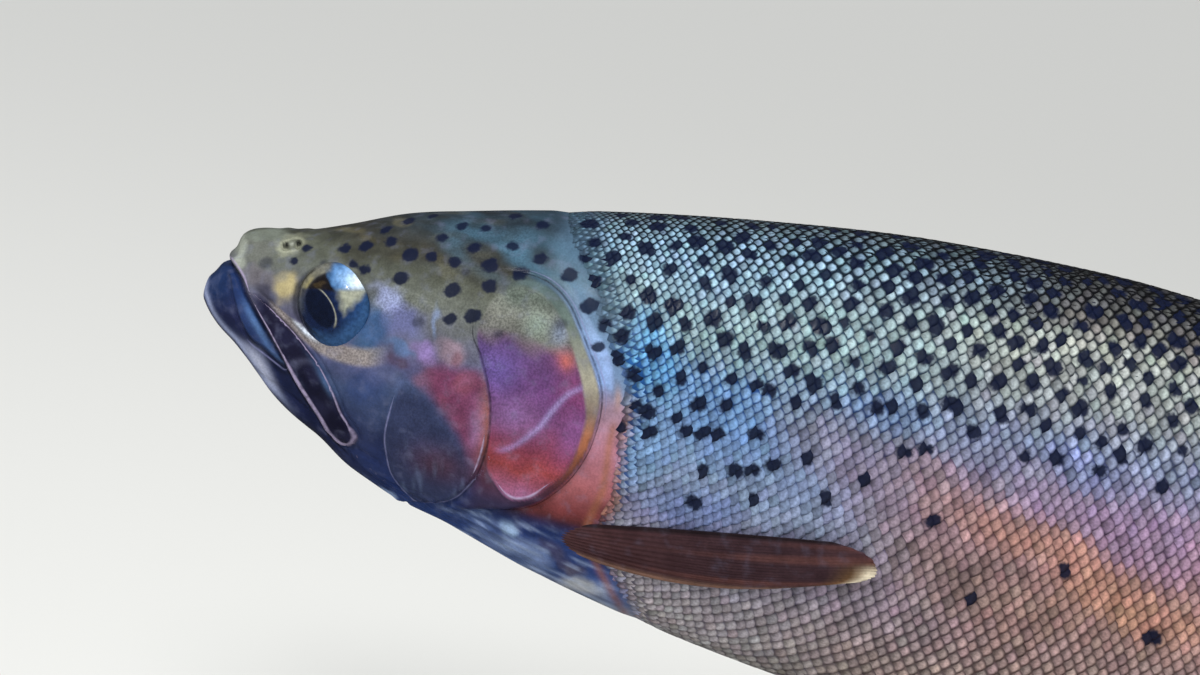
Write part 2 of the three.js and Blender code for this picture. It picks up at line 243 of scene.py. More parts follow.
@dataclass(frozen=True)
class TroutForm:
    """The body's loft: its back, belly and width along its length, and the shape of its sections."""

    snout: tuple[float, float] = (-4.3, -6.3)
    snout_round: float = 14.0
    end: float = 458.0
    back: Curve = Curve((
        (-4.3, 1), (0, 6.6), (3, 9.9), (10, 11.6), (18, 13.2), (26, 16.2), (40, 22.2), (56, 26.6), (88, 33.9),
        (125, 40.2), (157, 44.2), (190, 46), (230, 45.5), (290, 36), (345, 20), (400, 9), (432, 9.5),
        (458, 10.5),
    ))
    belly: Curve = Curve((
        (-4.3, -13.2), (1.5, -16.1), (6, -18), (13, -24.4), (24, -32.9), (37, -40.8), (50, -46.2),
        (66, -50.2), (91, -57.6), (113, -62.4), (146, -67.6), (200, -71.5), (250, -68.5), (300, -59),
        (345, -46), (400, -35.5), (432, -36), (458, -37),
    ))
    half_width: Curve = Curve((
        (-4.3, 9.5), (0, 11.6), (10, 13.6), (18, 15.6), (27, 18), (40, 21), (56, 24), (75, 26.4), (90, 27),
        (113, 28), (146, 30.5), (200, 32), (260, 29), (320, 21.5), (370, 13.5), (410, 8.5), (440, 6),
        (458, 2.2),
    ))
    widest_at: Curve = Curve(((-4.3, 0.5), (27, 0.52), (60, 0.5), (200, 0.52), (458, 0.5)))
    upper: Curve = Curve(((-4.3, 2.2), (27, 2.5), (60, 2.3), (120, 2.1), (458, 2)))
    lower: Curve = Curve(((-4.3, 2), (27, 1.8), (60, 1.8), (90, 2), (140, 2.2), (458, 2)))

    def section(self, x: Array) -> tuple[Array, Array, Array, Array]:
        """Measures sections across the body.

        Args:
            x: How far back each section lies.

        Returns:
            Their top, bottom, half width, and the height at which they are widest.
        """
        along = np.clip((x - self.snout[0]) / self.snout_round, 0, 1)
        rounding = np.sqrt(1 - (1 - along) ** 2)
        top = self.snout[1] + (self.back(x) - self.snout[1]) * rounding
        bottom = self.snout[1] + (self.belly(x) - self.snout[1]) * rounding
        return top, bottom, self.half_width(x) * rounding, bottom + (top - bottom) * self.widest_at(x)

    def surface(self, x: Array, angle: Array) -> Array:
        """Finds points of the surface.

        Args:
            x: How far back each point lies.
            angle: Its turn round the section: 0 on the right flank, a quarter turn on the back.

        Returns:
            Rows of x, y and z.
        """
        top, bottom, half, middle = self.section(x)
        across, up = np.cos(angle), np.sin(angle)
        squareness = np.where(up >= 0, self.upper(x), self.lower(x))
        height = np.where(up >= 0, top - middle, middle - bottom)
        y = half * np.sign(across) * np.abs(across) ** (2 / squareness)
        z = middle + height * np.sign(up) * np.abs(up) ** (2 / squareness)
        return np.stack([x, y, z], axis=1)

    def side(self, x: Array, z: Array) -> Array:
        """Gives how far the flank stands out from the middle plane.

        Args:
            x: How far back each point lies.
            z: Its height.

        Returns:
            Each point's distance across.
        """
        top, bottom, half, middle = self.section(x)
        share = np.where(z >= middle, (z - middle) / (top - middle), (middle - z) / (middle - bottom))
        squareness = np.where(z >= middle, self.upper(x), self.lower(x))
        return half * (1 - np.clip(share, 0, 1) ** squareness) ** (1 / squareness)

    def side_at(self, x: float, z: float) -> float:
        """Gives how far the flank stands out at a single point."""
        return float(self.side(np.array([x]), np.array([z]))[0])

    def height_share(self, x: Array, z: Array) -> Array:
        """Gives points' heights as shares.

        Args:
            x: How far back each point lies.
            z: Its height.

        Returns:
            1 on the back, 0 where the body is widest, and -1 on the belly.
        """
        top, bottom, _, middle = self.section(x)
        share = np.where(z >= middle, (z - middle) / (top - middle), (z - middle) / (middle - bottom))
        return np.clip(share, -1, 1)


# ------------------------------------------------------------------ lines of the head
@dataclass(frozen=True)
class HeadLines:
    """The lines that a trout's head is drawn from, in the side view, running back and down unless closed."""

    gape: Outline = Outline((
        (-9, 1.2), (-2, 2.2), (1.8, 2.3), (5.2, 0.1), (7.7, -3.4), (10.8, -7), (14.4, -10.8), (19.1, -16.2),
        (23.3, -21.4), (27.6, -26.2), (31.4, -30.4), (35, -34), (40, -37), (50, -43), (62, -49), (80, -56),
    ))
    maxilla: Outline = Outline((
        (7.7, -3.2), (10.8, -6.7), (14.4, -10.5), (19.1, -16), (23.3, -21.2), (27.6, -25.8), (31, -29.5),
        (33.2, -32.6), (35.8, -34.4), (38.4, -34.8), (40.4, -33.1), (40.6, -30.7), (38.6, -28.3),
        (36.2, -25.8), (34.3, -22.6), (32.2, -19.4), (28.8, -15.2), (25.1, -12), (21.1, -8.9), (16.5, -6.1),
        (12.5, -3.8), (9.5, -2.4),
    ), closed=True)
    jaw_rim: Outline = Outline((
        (-4.9, -3.4), (-4.1, -6.4), (-2.4, -9), (-0.4, -11.6), (2.9, -14.2), (7.7, -17.3), (12.2, -20.4),
        (15, -23.2), (18.2, -26.6), (24, -31), (32, -35.6), (42, -40.4),
    ))
    jaw_fold: Outline = Outline((
        (2.6, -1), (5.1, -6.3), (7.2, -10.3), (10.4, -14.2), (14.4, -16.2), (20, -18.6),
    ))
    preopercle: Outline = Outline((
        (61.6, 12), (62, 6), (63, 0.9), (65.8, -3), (68.3, -7.9), (70.3, -13), (71.3, -17.6), (71.8, -22.4),
        (71.7, -27), (70.7, -33), (67.8, -39), (64.4, -42.3), (58.7, -44.7), (52, -48),
    ))
    cheek_arc: Outline = Outline((
        (48.6, -13), (47.8, -19), (47.4, -27.6), (48.4, -32.6), (50.7, -38.7), (55.1, -43.2), (58.7, -44.7),
        (64.4, -42.3), (67.8, -39), (70.7, -33.5),
    ))
    cheek_crease: Outline = Outline(((50, -6), (54.7, -12.4), (59.8, -18.6), (65.2, -24.3), (69.6, -29)))
    under_eye: Outline = Outline((
        (13.6, -4.2), (17.5, -6.2), (21.5, -8.1), (26, -9.7), (30.5, -10.7), (35.5, -10.9), (40, -10.2),
        (45, -8),
    ))
    brow_plate: Outline = Outline(((37.4, 7.1), (43.9, 7.9), (53, 5.7), (54.6, 1), (54.3, -2.2), (52, -5.4)))
    gill_cover: Outline = Outline((
        (64, 3), (65.6, 10), (70, 14.4), (73.9, 15.2), (78, 14), (82, 10.9), (85.3, 6.8), (88.3, 1.6),
        (90.8, -3.3), (93.3, -10.2), (93.5, -14.9), (92.9, -20.8), (91.3, -26.1), (88, -30.5), (85, -34),
        (81.5, -35.6), (78.5, -35), (75.7, -32.7), (73.3, -29.8), (72.2, -24), (71.3, -17.6), (70.3, -13),
        (68.3, -7.9), (65.8, -3),
    ), closed=True)
    suture: Outline = Outline((
        (72.8, -24.6), (77.4, -22.8), (82.7, -16.9), (85.4, -11.4), (87.8, -7.2), (91, -4.2),
    ))
    supramaxilla: Outline = Outline(((20.6, -18.6), (22.6, -16.6), (24.8, -15.2), (27.4, -14.6)))
    flap: Outline = Outline((
        (58, 14.6), (65, 15.6), (70.8, 17), (77.5, 16.4), (82.8, 13.3), (86.7, 8.6), (90.1, 3.8), (93, -0.5),
        (95.2, -5), (96, -10), (95.8, -15), (95, -20), (92.8, -26), (89.4, -31.4), (85.4, -35.6),
        (80, -38.4), (73, -41), (64, -45), (56, -49),
    ))
    film: Outline = Outline((
        (72, 19), (78, 19), (83.1, 17.3), (87.4, 13), (91.3, 8.6), (95.3, 4.2), (97.6, -0.8), (98.2, -6),
    ))
    shoulder: Outline = Outline((
        (72, 42), (76, 33), (80.4, 26), (86, 18.8), (90, 12.8), (94.8, 6.5), (98.6, 1), (100.4, -4),
        (101, -9), (101, -16), (101.6, -22), (101.9, -28.4), (100.8, -34), (100.6, -39), (104, -46),
        (109, -53), (114, -60), (119, -69),
    ))


@dataclass(frozen=True)
class EyePlace:
    """Where an eye sits in the head, and its own size."""

    centre: tuple[float, float] = (28.6, -0.2)
    rim: tuple[float, float] = (9.5, 8.4)

    def spread(self, x: Array, z: Array) -> Array:
        """Gives a point's distance from the eye's middle, as a share of the way to its rim."""
        return np.hypot((x - self.centre[0]) / self.rim[0], (z - self.centre[1]) / self.rim[1])


NOSTRILS: Points = ((13.8, 9.5), (16.6, 10.6))


class HeadMap:
    """Points of the side view, with their distances from each of the head's lines, each worked out once."""

    def __init__(self, lines: HeadLines, eye: EyePlace, x: Array, z: Array) -> None:
        """Takes the points.

        Args:
            lines: The head's lines.
            eye: The eye's place.
            x: How far back each point lies.
            z: Its height.
        """
        self.lines, self.eye, self.x, self.z = lines, eye, x, z
        self.from_eye = eye.spread(x, z)

    def __getattr__(self, name: str) -> Array:
        """Measures the points against one of the head's lines.

        Args:
            name: The line's name.

        Returns:
            How far they lie from an open line, or inside a closed one.
        """
        line = getattr(self.lines, name)
        found = line.inside(self.x, self.z) if line.closed else line.offset(self.x, self.z)
        setattr(self, name, found)
        return found

    @cached_property
    def grainy_band(self) -> Array:
        """The strength of the pale grainy band under the eye."""
        wide = 1.0 + 1.3 * smooth(17, 29, self.x)
        band = smooth(1.25, 0.6, np.abs(self.under_eye) / wide)
        return band * smooth(1.0, 1.05, self.from_eye) * smooth(12.5, 16, self.x) * smooth(46, 39, self.x)


@dataclass(frozen=True)
class HeadRelief:
    """The head's folds, plates, lips and sockets, as lifts of its skin along the normal, in millimetres."""

    at: HeadMap

    def mouth(self) -> Array:
        """The gape with its overhanging lip, the maxilla's plate, and the hollow side of the lower jaw.

        Returns:
            Lifts in millimetres.
        """
        at, x, gape, plate = self.at, self.at.x, self.at.gape, self.at.maxilla
        lip = 0.5 * bump(gape, 1.2, 1.0) * smooth(12, 8, x)
        cleft = -1.5 * bump(gape, -0.45, 0.7) * smooth(42, 36, x)
        hollow = -1.1 * smooth(-0.2, -1.8, gape) * smooth(-8, -4, gape) * smooth(8, 15, x) * smooth(40, 28, x)
        rim = 0.8 * bump(at.jaw_rim, 0.2, 1.5) * smooth(40, 18, x)
        fold = -0.6 * bump(at.jaw_fold, -0.5, 0.7) + 0.35 * bump(at.jaw_fold, 0.7, 0.8)
        edge = bump(plate, 1.0, 0.75) * smooth(2.4, 0.6, gape)
        body = 0.75 * smooth(-0.3, 0.8, plate) + 0.5 * edge - 0.6 * bump(plate, -0.5, 0.6)
        return lip + cleft + hollow + rim + fold + body * smooth(7, 13, x)

    def snout(self) -> Array:
        """Two nostrils with fine raised rims, in a shallow dish on each side of the snout.

        Returns:
            Lifts in millimetres.
        """
        x, z = self.at.x, self.at.z
        dish = np.hypot((x - 15.3) / 3.8, (z - 9.9) / 2.8)
        lift = 1.1 * bump(x, 2.6, 2.6) * smooth(5, 8.5, z)
        lift = lift - 0.9 * smooth(1.4, -1, x) * smooth(1.5, 2.6, z) * smooth(8, 5, z)
        lift = lift - 0.4 * bump(dish, 0, 0.8) + 0.3 * bump(dish, 1.05, 0.25)
        for nostril in NOSTRILS:
            hole = np.hypot(x - nostril[0], z - nostril[1])
            lift = lift - 1.3 * smooth(1.0, 0.5, hole) + 0.12 * bump(hole, 1.4, 0.4)
        return lift

    def socket(self) -> Array:
        """The eye's socket, its thin raised rim, and the brow over it.

        Returns:
            Lifts in millimetres.
        """
        spread = self.at.from_eye
        well = -3.2 * smooth(1.0, 0.86, spread)
        rim = 0.5 * bump(spread, 1.09, 0.07) - 0.25 * bump(spread, 1.24, 0.08)
        over = smooth(-4, 6, self.at.z - self.at.eye.centre[1])
        rim = rim * (0.5 + 0.5 * over) * (0.4 + 0.6 * smooth(34, 24, self.at.x))
        return well + rim + 0.5 * over * bump(spread, 1.34, 0.18)

    def cheek(self) -> Array:
        """The cheek's plates and creases, up to the preopercle's hind edge.

        Returns:
            Lifts in millimetres.
        """
        edge, arc, plate = self.at.preopercle, self.at.cheek_arc, self.at.brow_plate
        lift = (-0.6 * bump(edge, 0.3, 0.55) + 0.35 * bump(edge, -0.9, 0.8)) * smooth(10, 3, self.at.z)
        raised = 0.3 * smooth(-0.2, 1.2, arc) * smooth(16, 3, arc) * smooth(74, 66, self.at.x)
        lift = lift - 0.35 * bump(arc, -0.5, 0.6) + raised
        lift = lift - 0.3 * bump(self.at.cheek_crease, 0, 1.1)
        return lift - 0.3 * bump(plate, 0.4, 0.6) + 0.25 * bump(plate, -0.8, 0.8)

    def gills(self) -> Array:
        """The bony gill cover, the thin flap past its edge, and the steps down to the shoulder.

        Returns:
            Lifts in millimetres.
        """
        x, z, cover, flap, film = self.at.x, self.at.z, self.at.gill_cover, self.at.flap, self.at.film
        swell = 0.25 + 0.75 * np.exp(-np.maximum(cover, 0) / 7.0)
        bone = smooth(-0.6, 0.5, cover) * swell * smooth(66, 76, x)
        lift = 0.45 * bone + 0.2 * bump(self.at.suture, 0, 0.6) * smooth(0, 2, cover)
        fade = smooth(62, 78, x)
        edge = 0.75 * smooth(0.5, -0.4, flap) * smooth(-8, -1, flap)
        lift = lift + (edge - 0.75 * bump(flap, 1.0, 0.7)) * fade
        high = smooth(-9, -3, z) * fade
        lift = lift - 0.45 * smooth(-0.5, 0.6, film) * smooth(5, 1, film) * high
        return lift - 0.5 * smooth(0.8, 1.8, flap) * smooth(7.5, 3.0, flap) * smooth(-3, -9, z) * fade

    def throat(self, from_belly: Array) -> Array:
        """The fan of thin bony rays under the gill covers, and the jawbones' inner edges.

        Args:
            from_belly: Each point's distance round the skin from the line along the belly.

        Returns:
            Lifts in millimetres.
        """
        x = self.at.x
        pitch = 1.7 + 1.3 * smooth(45, 95, x)
        fan = smooth(44, 52, x) * smooth(94, 84, x) * smooth(2, 4, from_belly)
        fan = fan * smooth(14 + 0.24 * (x - 45), 10 + 0.24 * (x - 45), from_belly)
        rays = 0.26 * np.cos(2 * math.pi * from_belly / pitch) * fan
        inner = 4.0 + 0.26 * np.clip(x, 0, 46)
        bone = -0.6 * bump(from_belly, 0, 1.6) * smooth(30, 46, x) * smooth(104, 88, x)
        return rays + bone - 0.55 * bump(from_belly - inner, 0, 1.0) * smooth(3, 10, x) * smooth(50, 42, x)

    def lift(self, from_belly: Array) -> Array:
        """Adds up the head's relief."""
        total = self.mouth() + self.snout() + self.socket()
        return total + self.cheek() + self.gills() + self.throat(from_belly)


# ------------------------------------------------------------------ markings, shared by skin and scales
@dataclass(frozen=True)
class Patch:
    """A soft oval of colour on the head: its middle, its half length and half height, and how it leans."""

    x: float
    z: float
    long: float
    tall: float
    colour: str
    share: float
    lean: float = 0.0

    def weight(self, x: Array, z: Array) -> Array:
        """Gives how much of its colour each point takes.

        Args:
            x: How far back each point lies.
            z: Its height.

        Returns:
            Shares, up to the patch's own.
        """
        lean = math.radians(self.lean)
        dx, dz = x - self.x, z - self.z
        along, up = dx * math.cos(lean) + dz * math.sin(lean), dz * math.cos(lean) - dx * math.sin(lean)
        return self.share * smooth(1.3, 0.4, np.hypot(along / self.long, up / self.tall))


@dataclass(frozen=True)
class Spot:
    """A black spot, a little longer than tall, that leans up and back."""

    x: float
    z: float
    radius: float = 1.7
    share: float = 1.0
    lean: float = 26.0

    def depth(self, back: Array, up: Array) -> Array:
        """Gives how deep points lie inside the spot.

        Args:
            back: How far behind its middle each point lies.
            up: How far above it.

        Returns:
            Depths in millimetres.
        """
        lean = math.radians(self.lean)
        along, over = back * math.cos(lean) + up * math.sin(lean), up * math.cos(lean) - back * math.sin(lean)
        return self.radius - np.hypot(along * 0.84, over * 1.14)


HEAD_SPOTS: tuple[Spot, ...] = tuple(Spot(*row) for row in (
    (10.4, 4.9, 1.6, 0.55), (17.2, 6.9, 1.05), (19.2, 10.3, 1.15), (24.3, 8.4, 0.9, 0.4),
    (28.2, 12.6, 1.4), (33.1, 14.5, 1.5), (36.6, 18.9, 1.3), (31.6, 10, 1.1), (34.4, 9.6, 1.3),
    (38.9, 17, 1.4), (43.3, 9.9, 1.8), (44.2, 15.4, 1.8), (49.2, 16.2, 1.3),
    (50.3, 20.6, 1.3), (54.9, 16.3, 1.5), (54.3, 24, 1.3), (56, 10.2, 1.9), (58.1, 14.8, 1.1, 0.5),
    (58.6, 20.4, 1.5), (60, 24.8, 1.2), (63.3, 17.7, 1.8), (64.4, 13.2, 1.8), (67.4, 22.9, 1.4),
    (70.6, 17.6, 1.8), (74.5, 21.8, 1.5), (82.1, 19.9, 1.9), (84.7, 24.3, 1.5),
    (49.8, 1, 1.4, 0.85), (57, 3.7, 1.5), (62.1, 5.7, 1.9), (69, 3.1, 1.2, 0.8),
    (82.9, 8.9, 1.4, 0.75), (88.4, 14.1, 2.0), (93.1, 10.8, 1.9), (97.5, 9.8, 1.9),
    (92.4, 5.6, 1.5), (24, 16.4, 1.3, 0.7), (46.6, 24, 1.2), (66, 28.6, 1.4),
    (41.4, 21.8, 1.4), (73, 28.6, 1.4), (57, 28.6, 1.2),
))

FLANK_SPOTS: tuple[Spot, ...] = tuple(Spot(x, z, 1.75) for x, z in (
    (93, 5.5), (98, 4.5), (105.5, 7.5), (102.5, 1.5), (117.5, 6.5), (113, 3), (124.5, 5.5), (130.5, 5.5),
    (133.8, 5), (108.5, -1), (104.5, -5.5), (107.3, -6.2), (101.5, -12), (109, -11), (114.5, -6.5),
    (117, -8.6), (121, -8.2), (124.5, -7.5), (133.5, -5.5), (138.5, -11.5), (134.5, -14), (130.5, -15),
    (123, -17), (136, -20.5), (122.5, -25), (140.5, 3.5), (159, 7), (162.3, 7.5), (181.5, 7), (168, -1.5),
    (172.5, 0.5), (146, -8.5), (160.5, -10), (152.5, -16.5), (178, -15.5),
))

HEAD_PATCHES: tuple[Patch, ...] = tuple(Patch(*row) for row in (
    (2.6, 5.6, 2.2, 5.0, "#92978c", 0.85, 20),  # pale edge of the snout
    (8, 10.4, 6, 1.8, "#737a70", 0.7, 10),  # top of the snout
    (8.5, 6.6, 4.6, 3.0, "#6a6c66", 0.6),
    (10, 1.6, 5.0, 3.2, "#615a62", 0.6, -20),
    (14.6, 10, 4.2, 2.0, "#8b8d7a", 0.55, 12),  # skin round the nostrils
    (16.4, 0.6, 2.8, 3.4, "#b5a674", 0.75, 12),  # golden patch before the eye: painted light, a pool of caustic light from the water
    (12.6, -2.6, 3.2, 2.4, "#363546", 0.8, -40),  # dusky corner over the maxilla
    (34, 13.4, 8, 2.4, "#33322b", 0.6, 14),  # dark brown over the brow: the crown's own tone, deepened by painted shade
    (39.6, -3.0, 5.4, 6.4, "#33547f", 0.9, 20),  # clear skin behind the eye
    (38.4, -8.4, 5.0, 3.0, "#2b4a6a", 0.75),
    (41.6, 5.0, 4.2, 3.0, "#8790b6", 0.8, -18),  # silver-lilac patch behind the eye
    (46.6, 0.6, 5.4, 4.6, "#626798", 0.75, -12),
    (53.8, 1.4, 0.6, 4.4, "#8098c6", 0.42, 10),
    (46.8, -5.6, 3.0, 1.5, "#4a74a4", 0.5, -25),
    (52.2, -5.4, 3.4, 2.4, "#8a72ac", 0.7, -12),
    (47.6, -9.2, 2.6, 1.5, "#43262f", 0.6, -12),
    (59, -3.8, 4.2, 3.4, "#8a7480", 0.75, -10),  # mauve-brown above the cheek
    (60.7, -5.2, 1.6, 2.0, "#6e4650", 0.6),
    (55, -11.5, 3.4, 3.4, "#7d5468", 0.6, -45),
    (44.6, -12.6, 5.0, 2.6, "#4c5478", 0.7, -20),
    (50.4, -15.6, 5.0, 3.4, "#4a5f86", 0.6),
    (40, -18, 5, 5, "#2c3f70", 0.6),
    (50.6, -45.6, 2.4, 1.3, "#8ba2cc", 0.75, -24),  # pale knob where the jaw meets the throat
    (75, -43.8, 7.5, 2.4, "#566c9c", 0.6, 12),  # pale rays under the gills
    (81.8, -43.6, 3.2, 2.2, "#9dbade", 0.85, -20),
    (79, -48.8, 8.0, 3.2, "#6f83ae", 0.6, -10),
    (86, -49.6, 7.5, 3.8, "#8499c4", 0.7, -16),
    (93.4, -47.2, 5.0, 2.0, "#403e5e", 0.8, -14),  # painted shadow under the pectoral fin's root
    (98.6, -50, 4.0, 2.2, "#4e434c", 0.75, -14),
    (93, -56, 7.0, 2.4, "#7c8cb4", 0.7, -12),
    (101, -55.4, 6.5, 3.0, "#c2c6ca", 0.85, -10),  # silver throat
))

FLANK_PATCHES: tuple[tuple[Patch, str], ...] = (
    (Patch(104, 6, 8, 12, "#5fa6d8", 0.8), "#1a5596"),  # brightest blue, just behind the gill cover
    (Patch(120, -2, 19, 11, "#5c8cc2", 0.55, -14), "#24508e"),
    (Patch(104, -14, 9, 10, "#6f9cc8", 0.5, -20), "#2a4f84"),
    (Patch(112, 26, 16, 7, "#86a8c0", 0.5), "#1e3a58"),
    (Patch(103.4, -26, 3.4, 9, "#b08a6c", 0.6, 12), "#6a4630"),  # amber fringe behind the gill opening
    (Patch(122, -26, 14, 7, "#5b76b0", 0.5), "#20356c"),
    (Patch(160, -6, 24, 10, "#847888", 0.6, -10), "#44405a"),  # dull violet under the spots
    (Patch(188, -25, 20, 6, "#7c686a", 0.5, -14), "#483a3e"),
    (Patch(222, -8, 26, 7, "#8a7496", 0.6, -12), "#483454"),  # lilac over the rust
    (Patch(214, -19, 46, 7, "#b3826a", 0.6, -16), "#684438"),  # rust along the rosy band's start
    (Patch(160, 7, 12, 5, "#5f76a6", 0.45), "#243e70"),
    (Patch(208, 5, 16, 5, "#6f7cac", 0.5, -10), "#333f70"),
)


def mottle(x: Array, z: Array, pitch: float, seed: int) -> Array:
    """Gives soft natural patches.

    Args:
        x: How far back each point lies.
        z: Its height.
        pitch: The patches' size in millimetres.
        seed: Which of the endless patterns it is.

    Returns:
        Values from about -1 to 1.
    """
    dice = np.random.default_rng(seed)
    total = np.zeros(x.shape)
    for _ in range(8):
        turn, phase = dice.uniform(0, 2 * math.pi, 2)
        rate = 2 * math.pi / (pitch * dice.uniform(0.7, 2.0))
        total = total + np.sin(rate * (x * math.cos(turn) + z * math.sin(turn)) + phase)
    return total / 3.4


@dataclass(frozen=True)
class SpotField:
    """The flanks' black spots, thrown one by one so that no two crowd each other."""

    form: TroutForm
    seed: int = 7
    tries: int = 26000
    lateral: Curve = Curve((
        (50, 14.6), (90, 9.8), (141, 3.7), (190, -1.3), (236, -2.9), (320, -6), (400, -11), (458, -13.2),
    ))

    def spacing(self, x: Array, share: Array) -> Array:
        """Gives the least distance between spots, which is huge where there are none.

        Args:
            x: How far back each place lies.
            share: Its height share.

        Returns:
            Distances in millimetres.
        """
        foot = -0.02 + 0.2 * smooth(112, 165, x) - 0.3 * smooth(300, 420, x)
        thin = smooth(foot + 0.14, foot - 0.1, share)
        return 5.0 + 0.8 * smooth(0.7, 0.3, share) + 15.0 * thin + 80.0 * smooth(-0.35, -0.5, share)

    def thrown(self, side: Side) -> Array:
        """Throws one flank's spots.

        Args:
            side: Which flank.

        Returns:
            Rows of x, y, z and radius.
        """
        dice = np.random.default_rng(self.seed + side)
        x = dice.uniform(82, self.form.end, self.tries)
        angle = np.arcsin(dice.uniform(-0.6, 1, self.tries))
        points = self.form.surface(x, angle)
        share = self.form.height_share(x, points[:, 2])
        gap = self.spacing(x, share)
        radius = dice.uniform(1.5, 2.3, self.tries)
        placed = [(s.x, s.z, s.radius) for s in HEAD_SPOTS]
        sway = 0 if side == Side.LEFT else 3  # the sides differ
        placed += [(s.x + sway * math.sin(s.z), s.z + sway * math.sin(s.x), s.radius) for s in FLANK_SPOTS]
        named = [(x, self.form.side_at(x, z), z) for x, z, _ in placed]
        taken = np.array(named)
        rows = [(x, side * y, z, spot[2]) for (x, y, z), spot in zip(named, placed)]
        for point, room, r in zip(points, gap, radius):
            if np.min(np.sum((taken - point) ** 2, axis=1)) > room * room:
                taken = np.vstack([taken, point])
                rows.append((point[0], side * point[1], point[2], r))
        return np.array(rows)


@dataclass(frozen=True)
class Markings:
    """A rainbow trout's colours, as functions of the place on its skin. All colours returned are linear."""

    form: TroutForm
    lines: HeadLines
    eye: EyePlace
    front: Bands = (
        (-1.0, "#aeacae", "#767680"), (-0.7, "#918c94", "#524e5c"), (-0.35, "#7d7c96", "#3c3f5c"),
        (-0.2, "#8696b4", "#3a4a70"), (-0.05, "#7a8fb2", "#2d4170"), (0.1, "#7b94bc", "#263e70"),
        (0.3, "#839fba", "#223f6a"), (0.5, "#8da7ae", "#243f58"), (0.7, "#8ba5ae", "#213648"),
        (0.8, "#90aec0", "#1f3144"), (0.9, "#8cadc4", "#1a2734"), (1.0, "#56666f", "#0c0e13"),
    )
    # The rear's top rows, from 0.82 up, are the back's own dark tone, deepened by painted shade.
    rear: Bands = (
        (-1.0, "#aca098", "#7a6e6a"), (-0.75, "#92807a", "#5c4e4c"), (-0.5, "#8e7674", "#554343"),
        (-0.28, "#9a7a72", "#573f3e"), (-0.1, "#9e7b80", "#573e45"), (0.05, "#947b8e", "#503c50"),
        (0.2, "#827e98", "#45405e"), (0.32, "#7f89a4", "#3d4664"), (0.5, "#8a9094", "#383f48"),
        (0.64, "#959b98", "#343b40"), (0.74, "#979c96", "#2d3338"), (0.82, "#6c6b68", "#1b1c20"),
        (0.91, "#4c4d4e", "#101115"), (1.0, "#343537", "#0a0a0d"),
    )
    rose: tuple[str, str] = ("#b88690", "#6d4050")
    black: str = "#0c142e"

    def flank(self, x: Array, z: Array) -> tuple[Array, Array]:
        """Colours the scaled body.

        Args:
            x: How far back each point lies.
            z: Its height.

        Returns:
            The tone of a scale's middle and the tone between scales.
        """
        share = self.form.height_share(x, z)
        back = smooth(125, 205, x + 10 * mottle(x, z, 40, 2))
        wx, wz = x + 2.5 * mottle(x, z, 22, 3), z + 2.5 * mottle(x, z, 22, 13)
        rosy = smooth(225, 295, x) * bump(share, 0.02, 0.24) * smooth(480, 400, x)
        tones = []
        for tone in (0, 1):
            front, rear = (
                ramp(share, tuple((row[0], row[1 + tone]) for row in rows))
                for rows in (self.front, self.rear)
            )
            paint = Paint(front + (rear - front) * back[:, None])
            for patch, below in FLANK_PATCHES:
                paint.coat((patch.colour, below)[tone], patch.weight(wx, wz))
            paint.coat(self.rose[tone], 0.8 * rosy)
            tones.append(paint.rows)
        return tones[0], tones[1]

    def mapped(self, x: Array, z: Array) -> HeadMap:
        """Measures points of the side view against the head's lines."""
        return HeadMap(self.lines, self.eye, x, z)

    def head(self, x: Array, y: Array, z: Array) -> Array:
        """Colours the smooth skin of the head, but for its fine lines and black spots.

        Args:
            x: How far back each point lies.
            y: How far across.
            z: Its height.

        Returns:
            Rows of colour.
        """
        w = z + 0.8 * y  # carries the soft patches over the crown
        wx = x + 0.9 * mottle(x, w, 9, 4) + 0.45 * mottle(x, w, 3, 24)
        wz = z + 0.9 * mottle(x, w, 9, 5) + 0.45 * mottle(x, w, 3, 25)
        # Darker from the throat up to the jaw: their own slate blue, deepened by painted shade under the
        # head.
        paint = Paint(ramp(wz, (
            (-62, "#a4aebe"), (-57, "#5d76a6"), (-50, "#27427e"), (-42, "#1c2e62"), (-30, "#222c52"),
            (-18, "#374668"), (-9, "#545276"), (0, "#5f6169"), (6, "#62665f"), (12, "#4c4f45"),
            (17, "#36352f"), (25, "#2b3740"), (34, "#18222c"),
        )))
        gold = smooth(0.3, 1.1, mottle(x, w, 7, 6)) * smooth(8, 15, z) * smooth(75, 40, x)
        paint.coat("#7c7452", 0.25 * gold)
        blue = smooth(-0.7, 0.7, mottle(x, w, 12, 7)) * smooth(12, 20, z) * smooth(40, 64, x)
        paint.coat("#41647a", 0.75 * blue * (1 - 0.65 * smooth(21, 29, z)))
        dusk = smooth(0.0, 1.0, mottle(x, w, 5, 12)) * smooth(9, 15, z)
        paint.coat("#242520", 0.45 * dusk * smooth(80, 55, x))
        for patch in HEAD_PATCHES:
            paint.coat(patch.colour, patch.weight(wx, wz))
        fan = smooth(60, 70, x) * smooth(-39, -43, z)
        streaks = mottle(0.16 * x, z + 0.2 * x, 1.7, 26)
        paint.coat("#a9bde0", 0.4 * fan * smooth(0.1, 1.2, streaks))
        paint.coat("#1a2754", 0.35 * fan * smooth(-0.1, -1.2, streaks))
        at = self.mapped(x, z)
        self.paint_nostrils(paint, at)
        self.paint_round_eye(paint, at)
        self.paint_cheek(paint, self.mapped(0.6 * x + 0.4 * wx, 0.6 * z + 0.4 * wz))
        self.paint_gill_cover(paint, at)
        self.paint_jaws(paint, at)
        paint.coat("#262a38", 0.62 * smooth(-0.5, 0.7, self.spots(x, y, z, faint=True)))
        return paint.rows

